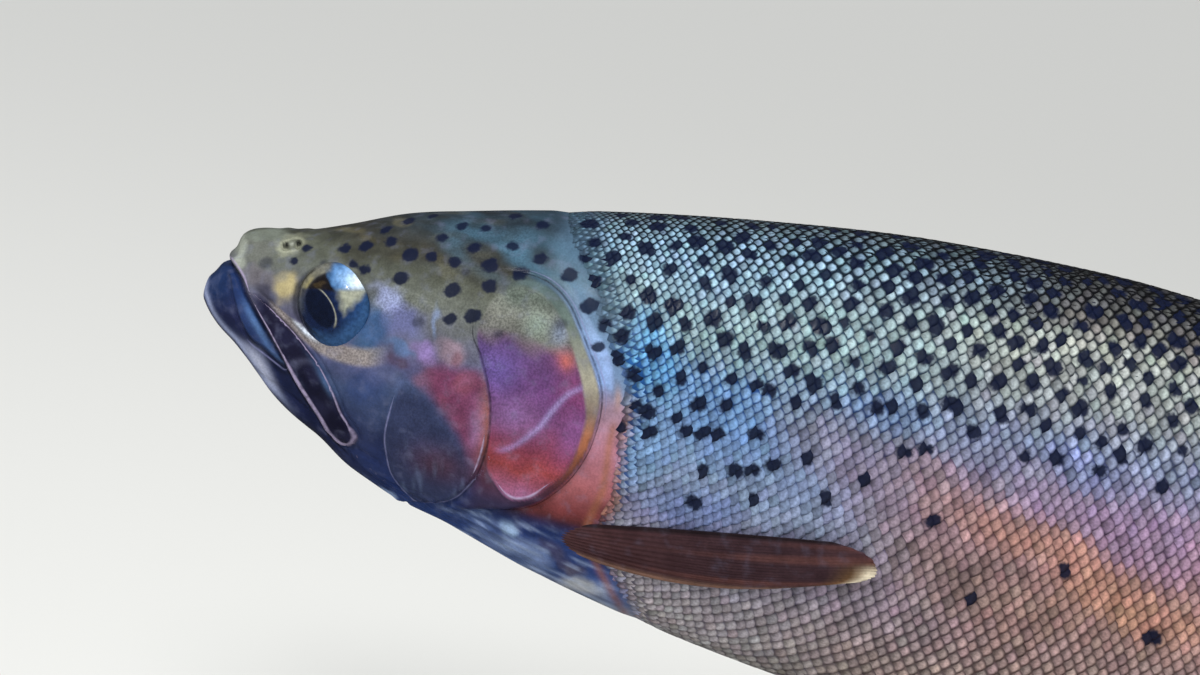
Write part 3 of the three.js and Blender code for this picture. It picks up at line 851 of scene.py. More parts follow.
    def spots(self, x: Array, y: Array, z: Array, faint: bool = False) -> Array:
        """Measures how deep each point lies in a spot of the head. The sides differ a little.

        Args:
            x: How far back each point lies.
            y: How far across.
            z: Its height.
            faint: Whether the faint spots are meant, or the black ones.

        Returns:
            Depths in millimetres.
        """
        right = smooth(2, 9, y)
        x, z = x + 1.8 * right * np.sin(0.3 * z), z + 1.2 * right * np.sin(0.25 * x)
        crown = smooth(0.4, 0.8, self.form.height_share(x, z))
        deepest = np.full(x.shape, -9.0)
        for spot in (spot for spot in HEAD_SPOTS if (spot.share < 1) == faint):
            inward = 0.55 * (self.form.side_at(spot.x, spot.z) - np.abs(y)) * crown
            rise = z - spot.z
            up = np.where(rise + inward > 0, 1, -1) * np.hypot(rise, inward)
            deepest = np.maximum(deepest, spot.depth(x - spot.x, up))
        return deepest

    def drawn_lines(self, x: Array, z: Array) -> dict[str, Array]:
        """Measures the fine lines of the head, for the skin's finish to draw.

        Args:
            x: How far back each point lies.
            z: Its height.

        Returns:
            For the dark, rim and pale lines, the distance from the nearest as a share of its half width.
        """
        at = self.mapped(x, z)
        low = np.clip(smooth(2.6, 0.8, at.gape) + smooth(37, 39.5, x) * smooth(-25, -31, z), 0, 1)
        thick, high = smooth(19, 24, x), 0.35 + 0.45 * smooth(-14, -2, z)
        # The gape's dark line is painted shade in the cleft of the mouth; the others are the preopercle's and
        # the flap's dark edges.
        dark = (
            ((at.gape + 0.55) / 0.55, smooth(40, 33, x)),
            ((at.preopercle - 0.3) / 0.36, smooth(5, -4, z) * smooth(-33, -28, z)),
            ((at.flap - 0.7) / 0.45, high * smooth(70, 80, x) * smooth(-42, -37, z)),
        )
        rims = (
            ((at.gill_cover - 0.7) / 0.55, smooth(-27, -34, z) * smooth(91, 87, x) * smooth(75, 81, x)),
            ((at.preopercle + 0.75) / 0.36, smooth(-20, -24, z) * smooth(-33, -29, z)),
            ((at.maxilla - 0.6) / 0.95, low * (0.3 + 0.7 * thick) * smooth(9, 13, x)),
            ((at.maxilla - 0.4) / 0.36, (1 - low) * (0.45 + 0.55 * bump(x, 36.5, 6)) * smooth(12, 15, x)),
            ((at.gape - 0.9) / 0.6, smooth(9, 6, x) * smooth(0, 2, x)),
        )
        pale = (
            (at.cheek_arc / 0.34, smooth(-16, -23, z)),
            ((at.jaw_fold + 1.0) / 0.34, smooth(9, 11.5, x) * smooth(22, 19, x)),
            ((at.flap - 1.6) / 0.3, smooth(70, 80, x) * smooth(-12, -2, z)),
        )
        found = {}
        for name, family in (("dark_line", dark), ("rim_line", rims), ("pale_line", pale)):
            shares = np.array([share / np.maximum(fade, 0.02) for share, fade in family])
            nearest = np.argmin(np.abs(shares), axis=0)
            found[name] = np.take_along_axis(shares, nearest[None], axis=0)[0]
        return found

    def paint_nostrils(self, paint: Paint, at: HeadMap) -> None:
        """Adds the nostrils in their dusky, pale-edged dish, the pits darkened as painted shade.

        Args:
            paint: The head's colours.
            at: Its points.
        """
        x, z = at.x, at.z
        along, over = 0.91 * (x - 15.2) + 0.42 * (z - 10), 0.91 * (z - 10) - 0.42 * (x - 15.2)
        dish = np.hypot(along / 2.7, over / 1.2)
        paint.coat("#a9ab94", 0.4 * bump(dish, 1.05, 0.22))
        paint.coat("#3c3f3a", 0.45 * smooth(1.0, 0.7, dish))
        paint.coat("#b6baae", 0.5 * bump(along, 0.1, 0.7) * bump(over, 0.2, 0.35))
        # The pits are painted near black, as painted shade in the holes.
        for nostril in NOSTRILS:
            hole = np.hypot(x - nostril[0], z - nostril[1])
            paint.coat("#0c0d10", 0.9 * smooth(1.0, 0.5, hole))

    def paint_round_eye(self, paint: Paint, at: HeadMap) -> None:
        """Adds the socket's fine dark line and the pale grainy band under the eye.

        Args:
            paint: The head's colours.
            at: Its points.
        """
        paint.coat("#1c1d26", (0.1 + 0.55 * smooth(30, 20, at.x)) * bump(at.from_eye, 1.0, 0.06))
        paint.coat("#877e78", 0.85 * at.grainy_band)
        paint.coat("#c3cddb", 0.9 * at.grainy_band * bump(at.from_eye, 1.08, 0.1) * smooth(32, 24, at.x))

    def paint_jaws(self, paint: Paint, at: HeadMap) -> None:
        """Adds the slate-blue jaws, deepened below by painted shade, with a painted highlight along the lower
        jaw's rim, and the dark maxilla with its pale lower edge.

        Args:
            paint: The head's colours.
            at: Its points.
        """
        x, z, gape, fold, plate = at.x, at.z, at.gape, at.jaw_fold, at.maxilla
        below = smooth(0.3, -0.5, gape) * smooth(60, 38, x)
        # Dark navy under the gape, darkest low down: the jaw's own slate blue, deepened by painted shade
        # under the head.
        paint.coat("#111b44", 0.92 * below * smooth(-46, -34, z))
        paint.coat("#12305c", 0.7 * below * smooth(9, -2, x) * smooth(-12, -4, z))
        inner = smooth(-0.3, 0.6, fold) * below * smooth(24, 19, x) * smooth(0, 4, x)
        inner = inner * smooth(-0.2, -0.9, gape)
        paint.coat("#1b3262", 0.75 * inner)
        dapple = 1 + 0.5 * np.clip(mottle(x + z, 0.3 * (z - x), 4, 27), -1, 1)
        paint.coat("#5578ac", 0.5 * inner * bump(gape, -1.9, 1.2) * smooth(5, 10, x) * dapple)
        paint.coat("#060a1e", 0.85 * bump(fold, -0.3, 0.45) * smooth(8, 11, x) * below)
        paint.coat("#060a1e", 0.6 * bump(fold, -1.8, 0.6) * smooth(9, 12, x) * below)
        # Painted highlight along the lower jaw's outer rim, which faces up towards the light.
        rim = (at.jaw_rim - 0.5) / (0.8 + 1.5 * bump(x, 13.5, 4.5))
        paint.coat("#8e98ba", 0.85 * bump(rim, 0, 1) * smooth(26, 15, x))
        paint.coat("#b4b7c8", 0.6 * bump(at.jaw_rim, 1.2, 1.3) * bump(x, 13.5, 4.2))
        paint.coat("#100e28", 0.96 * smooth(-0.5, 0.4, plate) * smooth(7, 13, x))
        warm = smooth(-0.5, 0.9, mottle(x, z, 6, 14)) * smooth(0.4, 1.6, plate)
        paint.coat("#222342", 0.6 * warm)
        paint.coat("#4a4c66", 0.5 * bump(at.supramaxilla, 0, 0.8) * smooth(0.6, 1.4, plate))
        paint.coat("#4a6a98", 0.6 * bump(plate, 0.9, 0.9) * bump(x, 32, 5) * smooth(-24, -19, z))

    def paint_cheek(self, paint: Paint, at: HeadMap) -> None:
        """Adds the red cheek, the slate lower cheek, and the wisps on it.

        Args:
            paint: The head's colours.
            at: Its points.
        """
        x, z, edge, crease = at.x, at.z, at.preopercle, at.cheek_crease
        before = smooth(0.5, -0.5, edge)
        red = before * smooth(-2.4, 2.4, crease) * smooth(-5, -9.5, z) * smooth(51, 58, x)
        paint.coat("#6f3150", 0.88 * red)
        paint.coat("#7f4552", 0.5 * red * smooth(0.0, 1.2, mottle(x, z, 8, 15)))
        paint.coat("#7e5270", 0.4 * red * smooth(0.1, 1.2, mottle(x, z, 6, 16)))
        paint.coat("#9a7cb8", 0.55 * before * bump(edge, -2.2, 2.0) * bump(z, -21, 5))
        low = before * smooth(2.0, -2.6, crease) * smooth(-0.5, 0.8, at.cheek_arc) * smooth(-12, -17, z)
        paint.coat("#2d3556", 0.9 * low)
        paint.coat("#52303f", 0.7 * low * bump(np.hypot((x - 61.6) / 7, (z + 31.8) / 4.5), 0, 1))
        wisps = smooth(0.3, 1.4, mottle(x + 0.5 * z, 0.35 * z - 0.3 * x, 3, 9)) * smooth(-24, -38, z)
        paint.coat("#7387ac", 0.24 * low * wisps)

    def paint_gill_cover(self, paint: Paint, at: HeadMap) -> None:
        """Adds the gill cover from its gold-green top to its red foot, with its flap, film and shoulder.

        Args:
            paint: The head's colours.
            at: Its points.
        """
        x, z, cover, flap = at.x, at.z, at.gill_cover, at.flap
        wave = 1.2 * mottle(x, z, 6, 10)
        face = Paint(ramp(z + wave * 0.7, (
            (-36, "#8d5c84"), (-32, "#8a4c68"), (-27.5, "#8c3a3c"), (-22.5, "#7c3448"), (-15, "#6a3a64"),
            (-8, "#633c70"), (0.2, "#583c68"), (2.6, "#62505c"), (4.4, "#65655e"), (9, "#6e7068"),
            (13, "#59625a"),
        )))
        face.coat("#544c8c", 0.6 * smooth(80, 71, x) * bump(z, -5.3, 6))
        face.coat("#7d3052", 0.6 * smooth(82, 90, x) * bump(z, -6, 5))
        face.coat("#7a4a80", 0.6 * smooth(86, 91, x) * bump(z, -16, 6))
        face.coat("#8e6fa8", 0.45 * bump(np.hypot((x - 77) / 6, (z + 15) / 4.5), 0, 1))
        face.coat("#7c9488", 0.4 * bump(np.hypot((x - 77.5) / 3.4, (z - 7.6) / 3.6), 0, 1))
        face.coat("#8496b8", 0.5 * bump(np.hypot((x - 83) / 2.0, (z - 7) / 3.0), 0, 1))
        face.coat("#c8684c", 0.6 * bump(np.hypot((x - 85.8) / 2.8 + 0.15 * wave, (z - 0.6) / 2.2), 0, 1))
        face.coat("#8c7cb8", 0.5 * bump(at.suture, 0, 0.75) * smooth(73, 77, x))
        face.coat("#b0a8d4", 0.35 * bump(at.suture, 0, 0.42) * bump(x, 85, 6))
        paint.cover(face.rows, smooth(-0.3, 0.4, cover))
        rim = smooth(0.3, -0.3, flap) * smooth(0.5, -0.4, cover) * smooth(66, 74, x)
        tone = ramp(z, (
            (-38, "#332b48"), (-30, "#5a2c34"), (-24, "#84482f"), (-16, "#a3623a"), (-10, "#7c6858"),
            (-3, "#a19c88"), (2, "#8a8a7c"), (10, "#5c6c66"), (17, "#4a5c5e"),
        ))
        paint.cover(tone, 0.9 * rim)
        behind = smooth(-0.2, 0.5, flap) * smooth(74, 82, x)
        band = ramp(z + 0.5 * wave, (
            (-39, "#381619"), (-35, "#743335"), (-28, "#96555a"), (-17, "#a06c7c"), (-8, "#9a7e90"),
            (-3, "#839cc9"), (4, "#839cc6"), (12, "#758eac"), (20, "#4d6268"),
        ))
        paint.cover(band, behind * smooth(28, 18, z) * smooth(-42, -37, z))
        paint.coat("#54718a", 0.6 * smooth(-0.3, 0.6, at.film) * behind * smooth(-8, -2, z))
        orange = behind * bump(at.shoulder, -0.8, 1.0)
        paint.coat("#8f5a3a", 0.6 * orange * smooth(-9, -13, z))
        paint.coat("#b3886c", 0.6 * orange * bump(z, -5.0, 2.6))

    def skin(self, x: Array, y: Array, z: Array) -> Array:
        """Colours the whole skin: the head's own colours, and the tone between scales behind them.

        Args:
            x: How far back each point lies.
            y: How far across.
            z: Its height.

        Returns:
            Rows of colour.
        """
        scaled = smooth(0.6, 3.6, self.lines.shoulder.offset(x, z))
        deep = self.flank(x, z)[1]
        return self.head(x, y, z) * (1 - scaled)[:, None] + deep * scaled[:, None]


# ------------------------------------------------------------------ materials
Value = float | tuple[float, ...] | bpy.types.NodeSocket
Inputs = dict[str | int, Value]
EASED = {"interpolation_type": "SMOOTHSTEP"}
NOISE_SPAN = (0.3, 0.7)  # nearly all of a noise's values lie in it


def add_node(
    tree: bpy.types.NodeTree, kind: str, inputs: Inputs, **settings: object
) -> bpy.types.Node:
    """Adds a node with its settings and links.

    Args:
        tree: The node tree that gets it.
        kind: The node's type name, without ShaderNode.
        inputs: A value, or the output socket to link, for each input name or number.
        **settings: The node's own properties.

    Returns:
        The node.
    """
    node = tree.nodes.new("ShaderNode" + kind)
    for name, value in settings.items():
        setattr(node, name, value)
    connect(tree, node, inputs)
    return node


def connect(tree: bpy.types.NodeTree, node: bpy.types.Node, inputs: Inputs) -> None:
    """Links a node's inputs to sockets, or sets them to values.

    Args:
        tree: The node's tree.
        node: The node.
        inputs: What each input takes, by its name or number.
    """
    for name, value in inputs.items():
        if isinstance(value, bpy.types.NodeSocket):
            tree.links.new(value, node.inputs[name])
        else:
            node.inputs[name].default_value = value


def rgba(colour: str) -> tuple[float, float, float, float]:
    """Turns an sRGB hex colour into a linear colour with full alpha."""
    return (*linear(colour), 1.0)


def per(size_mm: float) -> float:
    """Gives the scale at which a pattern's forms are about size_mm wide."""
    return 1 / (size_mm * MM)


class Recipe:
    """A material in the making: its node tree, its shader and the place on the piece."""

    def __init__(self, name: str, metallic: float = 0.0, ior: float = 1.5) -> None:
        """Starts the material.

        Args:
            name: Its name.
            metallic: How metallic it is.
            ior: Its index of refraction.
        """
        self.material = bpy.data.materials.new(name)
        self.material.use_nodes = True
        self.shader = self.material.node_tree.nodes["Principled BSDF"]
        self.place = self.node("TexCoord", out="Object")
        self.finish({"Metallic": metallic, "IOR": ior})

    def node(
        self, kind: str, inputs: Inputs | tuple[Value, ...] = (), out: str | int = 0, **settings: object
    ) -> bpy.types.NodeSocket:
        """Adds a node of any kind to the material.

        Args:
            kind: The node's type name, without ShaderNode.
            inputs: What its inputs take, by name or number, or in their order.
            out: The output that is wanted.
            **settings: The node's own properties.

        Returns:
            That output.
        """
        named = inputs if isinstance(inputs, dict) else dict(enumerate(inputs))
        return add_node(self.material.node_tree, kind, named, **settings).outputs[out]

    def finish(self, sockets: Inputs) -> bpy.types.Material:
        """Sets or links sockets of the shader and returns the material."""
        connect(self.material.node_tree, self.shader, sockets)
        return self.material


@dataclass(frozen=True)
class DrawnLine:
    """A family of fine lines: the attribute that measures them, their colour, and how far they rise."""

    attribute: str
    colour: str
    share: float
    rise_mm: float


@dataclass(frozen=True)
class WetSkin:
    """Live trout skin: a clear film of slime over pigment. It reads as a sharp wet gloss over soft grain."""

    name: str
    roughness: float = 0.4
    coat: float = 0.3
    coat_roughness: float = 0.17
    grain_mm: float = 0.5
    grain: float = 0.24
    depth_mm: float = 0.05
    cloud_mm: float = 3.4
    mottle: float = 0.22
    clouds: tuple[str, str] = ("#7a80a0", "#15131c")
    lines: tuple[DrawnLine, ...] = ()
    spots: str = ""

    def material(self) -> bpy.types.Material:
        """Builds the material.

        Returns:
            The material.
        """
        recipe = Recipe(self.name, ior=1.36)
        node, place = recipe.node, recipe.place
        fine = node("TexNoise", {"Vector": place, "Scale": per(self.grain_mm), "Detail": 3.0})
        broad = node("TexNoise", {"Vector": place, "Scale": per(5.0), "Detail": 5.0})
        amount = node("Attribute", out="Fac", attribute_name="grain")
        around = node("MapRange", (fine, *NOISE_SPAN, 1 - self.grain, 1 + self.grain), **EASED)
        swing = node("Math", (around, 1.0), operation="SUBTRACT")
        grained = node("Math", (node("Math", (swing, amount), operation="MULTIPLY"), 1.0), operation="ADD")
        uneven = node("MapRange", (broad, *NOISE_SPAN, 0.84, 1.16), **EASED)
        level = node("Math", (grained, uneven), operation="MULTIPLY")
        tone = node("Attribute", out="Color", attribute_name="tone")
        colour = node("VectorMath", {0: tone, "Scale": level}, operation="SCALE")
        cloudy = node("TexNoise", {"Vector": place, "Scale": per(self.cloud_mm), "Detail": 4.0})
        for far, cloud in zip((0.8, 0.2), self.clouds):
            share = node("MapRange", (cloudy, 0.5, far, 0.0, self.mottle), **EASED)
            colour = node("Mix", {0: share, 6: colour, 7: rgba(cloud)}, 2, data_type="RGBA")
        depth = node("Math", (amount, self.depth_mm * MM), operation="MULTIPLY")
        height = node("Math", (fine, depth), operation="MULTIPLY")
        ragged = node("TexNoise", {"Vector": place, "Scale": per(1.6), "Detail": 3.0})
        uneven = node("MapRange", (ragged, 0.3, 0.6, 0.5, 1.0), **EASED)
        for line in self.lines:
            away = node("Attribute", out="Fac", attribute_name=line.attribute)
            away = node("Math", (away,), operation="ABSOLUTE")
            near = node("MapRange", (away, 0.0, 1.15, 1.0, 0.0), **EASED)
            drawn = node("Math", (near, uneven), operation="MULTIPLY")
            share = node("Math", (drawn, line.share), operation="MULTIPLY")
            colour = node("Mix", {0: share, 6: colour, 7: rgba(line.colour)}, 2, data_type="RGBA")
            rise = node("Math", (drawn, line.rise_mm * MM), operation="MULTIPLY")
            height = node("Math", (height, rise), operation="ADD")
        if self.spots:
            wander = node("TexNoise", {"Vector": place, "Scale": per(1.6), "Detail": 2.0})
            wander = node("Math", (wander, 0.5), operation="SUBTRACT")
            wavy = node("Math", (wander, 1.5), operation="MULTIPLY")
            depth = node("Math", (node("Attribute", out="Fac", attribute_name="spot"), wavy), operation="ADD")
            share = node("MapRange", (depth, -0.35, 0.45, 0.0, 0.92), **EASED)
            colour = node("Mix", {0: share, 6: colour, 7: rgba(self.spots)}, 2, data_type="RGBA")
        rough = node("MapRange", (broad, *NOISE_SPAN, self.roughness - 0.06, self.roughness + 0.08), **EASED)
        bumps = node("Bump", {"Height": height, "Strength": 1.0, "Distance": 1.0})
        return recipe.finish({
            "Base Color": colour, "Roughness": rough, "Normal": bumps,
            "Coat Weight": self.coat, "Coat Roughness": self.coat_roughness,
        })


@dataclass(frozen=True)
class WetScale:
    """Wet cycloid scales: thin horn over silver crystals. Each is painted darker towards its covered root, as
    shade under the scale ahead, and brighter in a crescent at its free edge, as a highlight.
    """

    name: str
    black: str
    roughness: float = 0.34
    coat: float = 0.4
    coat_roughness: float = 0.16
    dome_mm: float = 0.03
    ring_mm: float = 0.006
    rings: float = 26.0

    def material(self) -> bpy.types.Material:
        """Builds the material.

        Returns:
            The material.
        """
        recipe = Recipe(self.name, metallic=0.1, ior=1.42)
        node, place = recipe.node, recipe.place
        face = node("UVMap", out="UV", uv_map="ScaleFace")
        round_reach = node("VectorMath", (face,), "Value", operation="LENGTH")
        axes = add_node(recipe.material.node_tree, "SeparateXYZ", {0: face}).outputs
        rear = axes["X"]
        both = node("Math", (rear,), operation="ABSOLUTE"), node("Math", (axes["Y"],), operation="ABSOLUTE")
        corner = node("Math", (node("Math", both, operation="ADD"), 0.35), operation="MULTIPLY")
        squarish = node("Math", (round_reach, corner), operation="ADD")
        reach = node("Math", (squarish, 0.7), operation="MULTIPLY")
        fine = node("TexNoise", {"Vector": place, "Scale": per(0.7), "Detail": 2.0})
        wander = node("Math", (node("Math", (fine, 0.5), operation="SUBTRACT"), 0.4), operation="MULTIPLY")
        uneven = node("Math", (reach, wander), operation="ADD")
        # Pale in each scale's middle, deep round it: the deep ring is partly the tone between scales and
        # partly painted shade in the gaps.
        middle = node("MapRange", (uneven, 0.55, 1.0, 1.0, 0.0), **EASED)
        # Painted shade and highlight: darker towards the covered root, brighter in a crescent at the free
        # edge.
        to_edge = node("Math", (rear, wander), operation="ADD")
        shade_and_highlight = node("MapRange", (to_edge, -0.85, 0.6, 0.35, 1.35), **EASED)
        pale = node("Attribute", out="Color", attribute_name="pale")
        pale = node("VectorMath", {0: pale, "Scale": shade_and_highlight}, operation="SCALE")
        deep = node("Attribute", out="Color", attribute_name="deep")
        colour = node("Mix", {0: middle, 6: deep, 7: pale}, 2, data_type="RGBA")
        waves = node("TexNoise", {"Vector": place, "Scale": per(1.0), "Detail": 2.0})
        wavy = node("Math", (node("Math", (waves, 0.5), operation="SUBTRACT"), 0.7), operation="MULTIPLY")
        depth = node("Math", (node("Attribute", out="Fac", attribute_name="spot"), wavy), operation="ADD")
        share = node("MapRange", (depth, -0.32, 0.28, 0.0, 0.97), **EASED)
        inked = node("Mix", {0: share, 6: colour, 7: rgba(self.black)}, 2, data_type="RGBA")
        dome = node("MapRange", (reach, 0.0, 1.0, self.dome_mm * MM, 0.0), **EASED)
        turns = node("Math", (node("Math", (reach, self.rings), operation="MULTIPLY"),), operation="SINE")
        ringed = node("Math", (turns, self.ring_mm * MM), operation="MULTIPLY")
        level = node("MapRange", (fine, *NOISE_SPAN, 0.84, 1.16), **EASED)
        base = node("VectorMath", {0: inked, "Scale": level}, operation="SCALE")
        height = node("Math", (dome, ringed), operation="ADD")
        dents = node("Bump", {"Height": height, "Strength": 1.0, "Distance": 1.0})
        return recipe.finish({
            "Base Color": base, "Normal": dents,
            "Roughness": self.roughness, "Coat Weight": self.coat, "Coat Roughness": self.coat_roughness,
        })


@dataclass(frozen=True)
class GlassEye:
    """A cast glass eye, painted behind: the cornea's gloss is near perfect over a soft, fibrous iris."""

    name: str = "painted glass eye"
    fibre_mm: float = 0.9

    def material(self) -> bpy.types.Material:
        """Builds the material.

        Returns:
            The material.
        """
        recipe = Recipe(self.name)
        tone = recipe.node("Attribute", out="Color", attribute_name="tone")
        fibres = recipe.node("TexNoise", {"Vector": recipe.place, "Scale": per(self.fibre_mm), "Detail": 4.0})
        level = recipe.node("MapRange", (fibres, *NOISE_SPAN, 0.78, 1.22), **EASED)
        return recipe.finish({
            "Base Color": recipe.node("VectorMath", {0: tone, "Scale": level}, operation="SCALE"),
            "Roughness": 0.15, "Coat Weight": 0.8, "Coat Roughness": 0.03,
        })


@dataclass(frozen=True)
class OiledWalnut:
    """Walnut, planed and oiled: long dark figure along the board, fine pores, and a soft satin sheen."""

    name: str = "oiled walnut"
    light: str = "#6b4730"
    dark: str = "#2f1d13"
    ring_mm: float = 7.0
    pore_mm: float = 0.8

    def material(self) -> bpy.types.Material:
        """Builds the material.

        Returns:
            The material.
        """
        recipe = Recipe(self.name)
        board = recipe.node("Mapping", {"Vector": recipe.place, "Scale": (0.12, 1.0, 1.0)})
        waves = {"Vector": board, "Scale": per(self.ring_mm) / 6.0, "Distortion": 6.0, "Detail": 3.0,
                 "Detail Scale": 1.5}
        figure = recipe.node("TexWave", waves, "Fac", wave_type="BANDS", bands_direction="Y")
        pores = recipe.node("TexNoise", {"Vector": board, "Scale": per(self.pore_mm), "Detail": 3.0})
        wood = {0: figure, 6: rgba(self.dark), 7: rgba(self.light)}
        colour = recipe.node("Mix", wood, 2, data_type="RGBA")
        level = recipe.node("MapRange", (pores, *NOISE_SPAN, 0.75, 1.15), **EASED)
        base = recipe.node("VectorMath", {0: colour, "Scale": level}, operation="SCALE")
        height = recipe.node("Math", (pores, 0.03 * MM), operation="MULTIPLY")
        dents = recipe.node("Bump", {"Height": height, "Strength": 1.0, "Distance": 1.0})
        return recipe.finish({"Base Color": base, "Normal": dents, "Roughness": 0.42})


@dataclass(frozen=True)
class TurnedBrass:
    """Brass rod, turned and lacquered: warm yellow metal with fine rings round it and a soft shine."""

    name: str = "turned brass"
    colour: str = "#c9a35c"
    ring_mm: float = 0.4

    def material(self) -> bpy.types.Material:
        """Builds the material.

        Returns:
            The material.
        """
        recipe = Recipe(self.name, metallic=1.0)
        along = recipe.node("Mapping", {"Vector": recipe.place, "Scale": (0.05, 0.05, 1.0)})
        rings = recipe.node("TexNoise", {"Vector": along, "Scale": per(self.ring_mm), "Detail": 2.0})
        rough = recipe.node("MapRange", (rings, *NOISE_SPAN, 0.22, 0.36), **EASED)
        height = recipe.node("Math", (rings, 0.005 * MM), operation="MULTIPLY")
        dents = recipe.node("Bump", {"Height": height, "Strength": 1.0, "Distance": 1.0})
        return recipe.finish({"Base Color": rgba(self.colour), "Roughness": rough, "Normal": dents})


# ------------------------------------------------------------------ meshes
def positions(mesh: bpy.types.Mesh) -> Array:
    """Reads a mesh's vertices as rows."""
    flat = np.empty(len(mesh.vertices) * 3)
    mesh.vertices.foreach_get("co", flat)
    return flat.reshape(-1, 3)


def move_to(mesh: bpy.types.Mesh, rows: Array) -> None:
    """Moves a mesh's vertices to rows of places."""
    mesh.vertices.foreach_set("co", np.ascontiguousarray(rows, dtype=np.float32).ravel())
    mesh.update()


def store_colours(mesh: bpy.types.Mesh, name: str, rows: Array) -> None:
    """Stores a linear colour for each vertex.

    Args:
        mesh: The mesh that is painted.
        name: The attribute's name.
        rows: Red, green and blue for each vertex.
    """
    layer = mesh.color_attributes.new(name, "FLOAT_COLOR", "POINT")
    full = np.hstack([np.clip(rows, 0, 1), np.ones((len(rows), 1))])
    layer.data.foreach_set("color", full.astype(np.float32).ravel())


def store(mesh: bpy.types.Mesh, name: str, values: Array) -> None:
    """Stores a number for each vertex."""
    layer = mesh.attributes.new(name, "FLOAT", "POINT")
    layer.data.foreach_set("value", np.ascontiguousarray(values, dtype=np.float32))


def map_loops(mesh: bpy.types.Mesh, name: str, rows: Array) -> None:
    """Stores a UV map with one place for each face corner."""
    layer = mesh.uv_layers.new(name=name)
    layer.data.foreach_set("uv", np.ascontiguousarray(rows, dtype=np.float32).ravel())


def loop_vertices(mesh: bpy.types.Mesh) -> Array:
    """Gives the vertex of each face corner."""
    index = np.empty(len(mesh.loops), dtype=np.int32)
    mesh.loops.foreach_get("vertex_index", index)
    return index


def new_piece(name: str, mesh: bpy.types.Mesh, material: bpy.types.Material) -> bpy.types.Object:
    """Links a smooth-shaded piece to the scene and lets it ride on the part.

    Args:
        name: The piece's name.
        mesh: Its mesh.
        material: Its finish.

    Returns:
        The piece.
    """
    mesh.name = name
    mesh.materials.append(material)
    mesh.polygons.foreach_set("use_smooth", np.ones(len(mesh.polygons), dtype=bool))
    piece = bpy.data.objects.new(name, mesh)
    bpy.context.scene.collection.objects.link(piece)
    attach(piece, "root")
    log.info("%s: %d faces", name, len(mesh.polygons))
    return piece


def finished(bm: bmesh.types.BMesh, name: str) -> bpy.types.Mesh:
    """Turns a bmesh into a mesh and frees it.

    Args:
        bm: The bmesh.
        name: The mesh's name.

    Returns:
        The mesh.
    """
    mesh = bpy.data.meshes.new(name)
    bm.to_mesh(mesh)
    bm.free()
    return mesh


def face_outwards(mesh: bpy.types.Mesh) -> None:
    """Turns a closed mesh's faces outwards.

    Args:
        mesh: The mesh.
    """
    bm = bmesh.new()
    bm.from_mesh(mesh)
    bmesh.ops.recalc_face_normals(bm, faces=bm.faces)
    bm.to_mesh(mesh)
    bm.free()


# ------------------------------------------------------------------ the skin
HEAD_LINES: tuple[DrawnLine, ...] = (
    DrawnLine("dark_line", "#120f1e", 0.66, -0.2), DrawnLine("rim_line", "#ac9fc0", 0.75, 0.12),
    DrawnLine("pale_line", "#8f90bc", 0.5, 0.06),
)


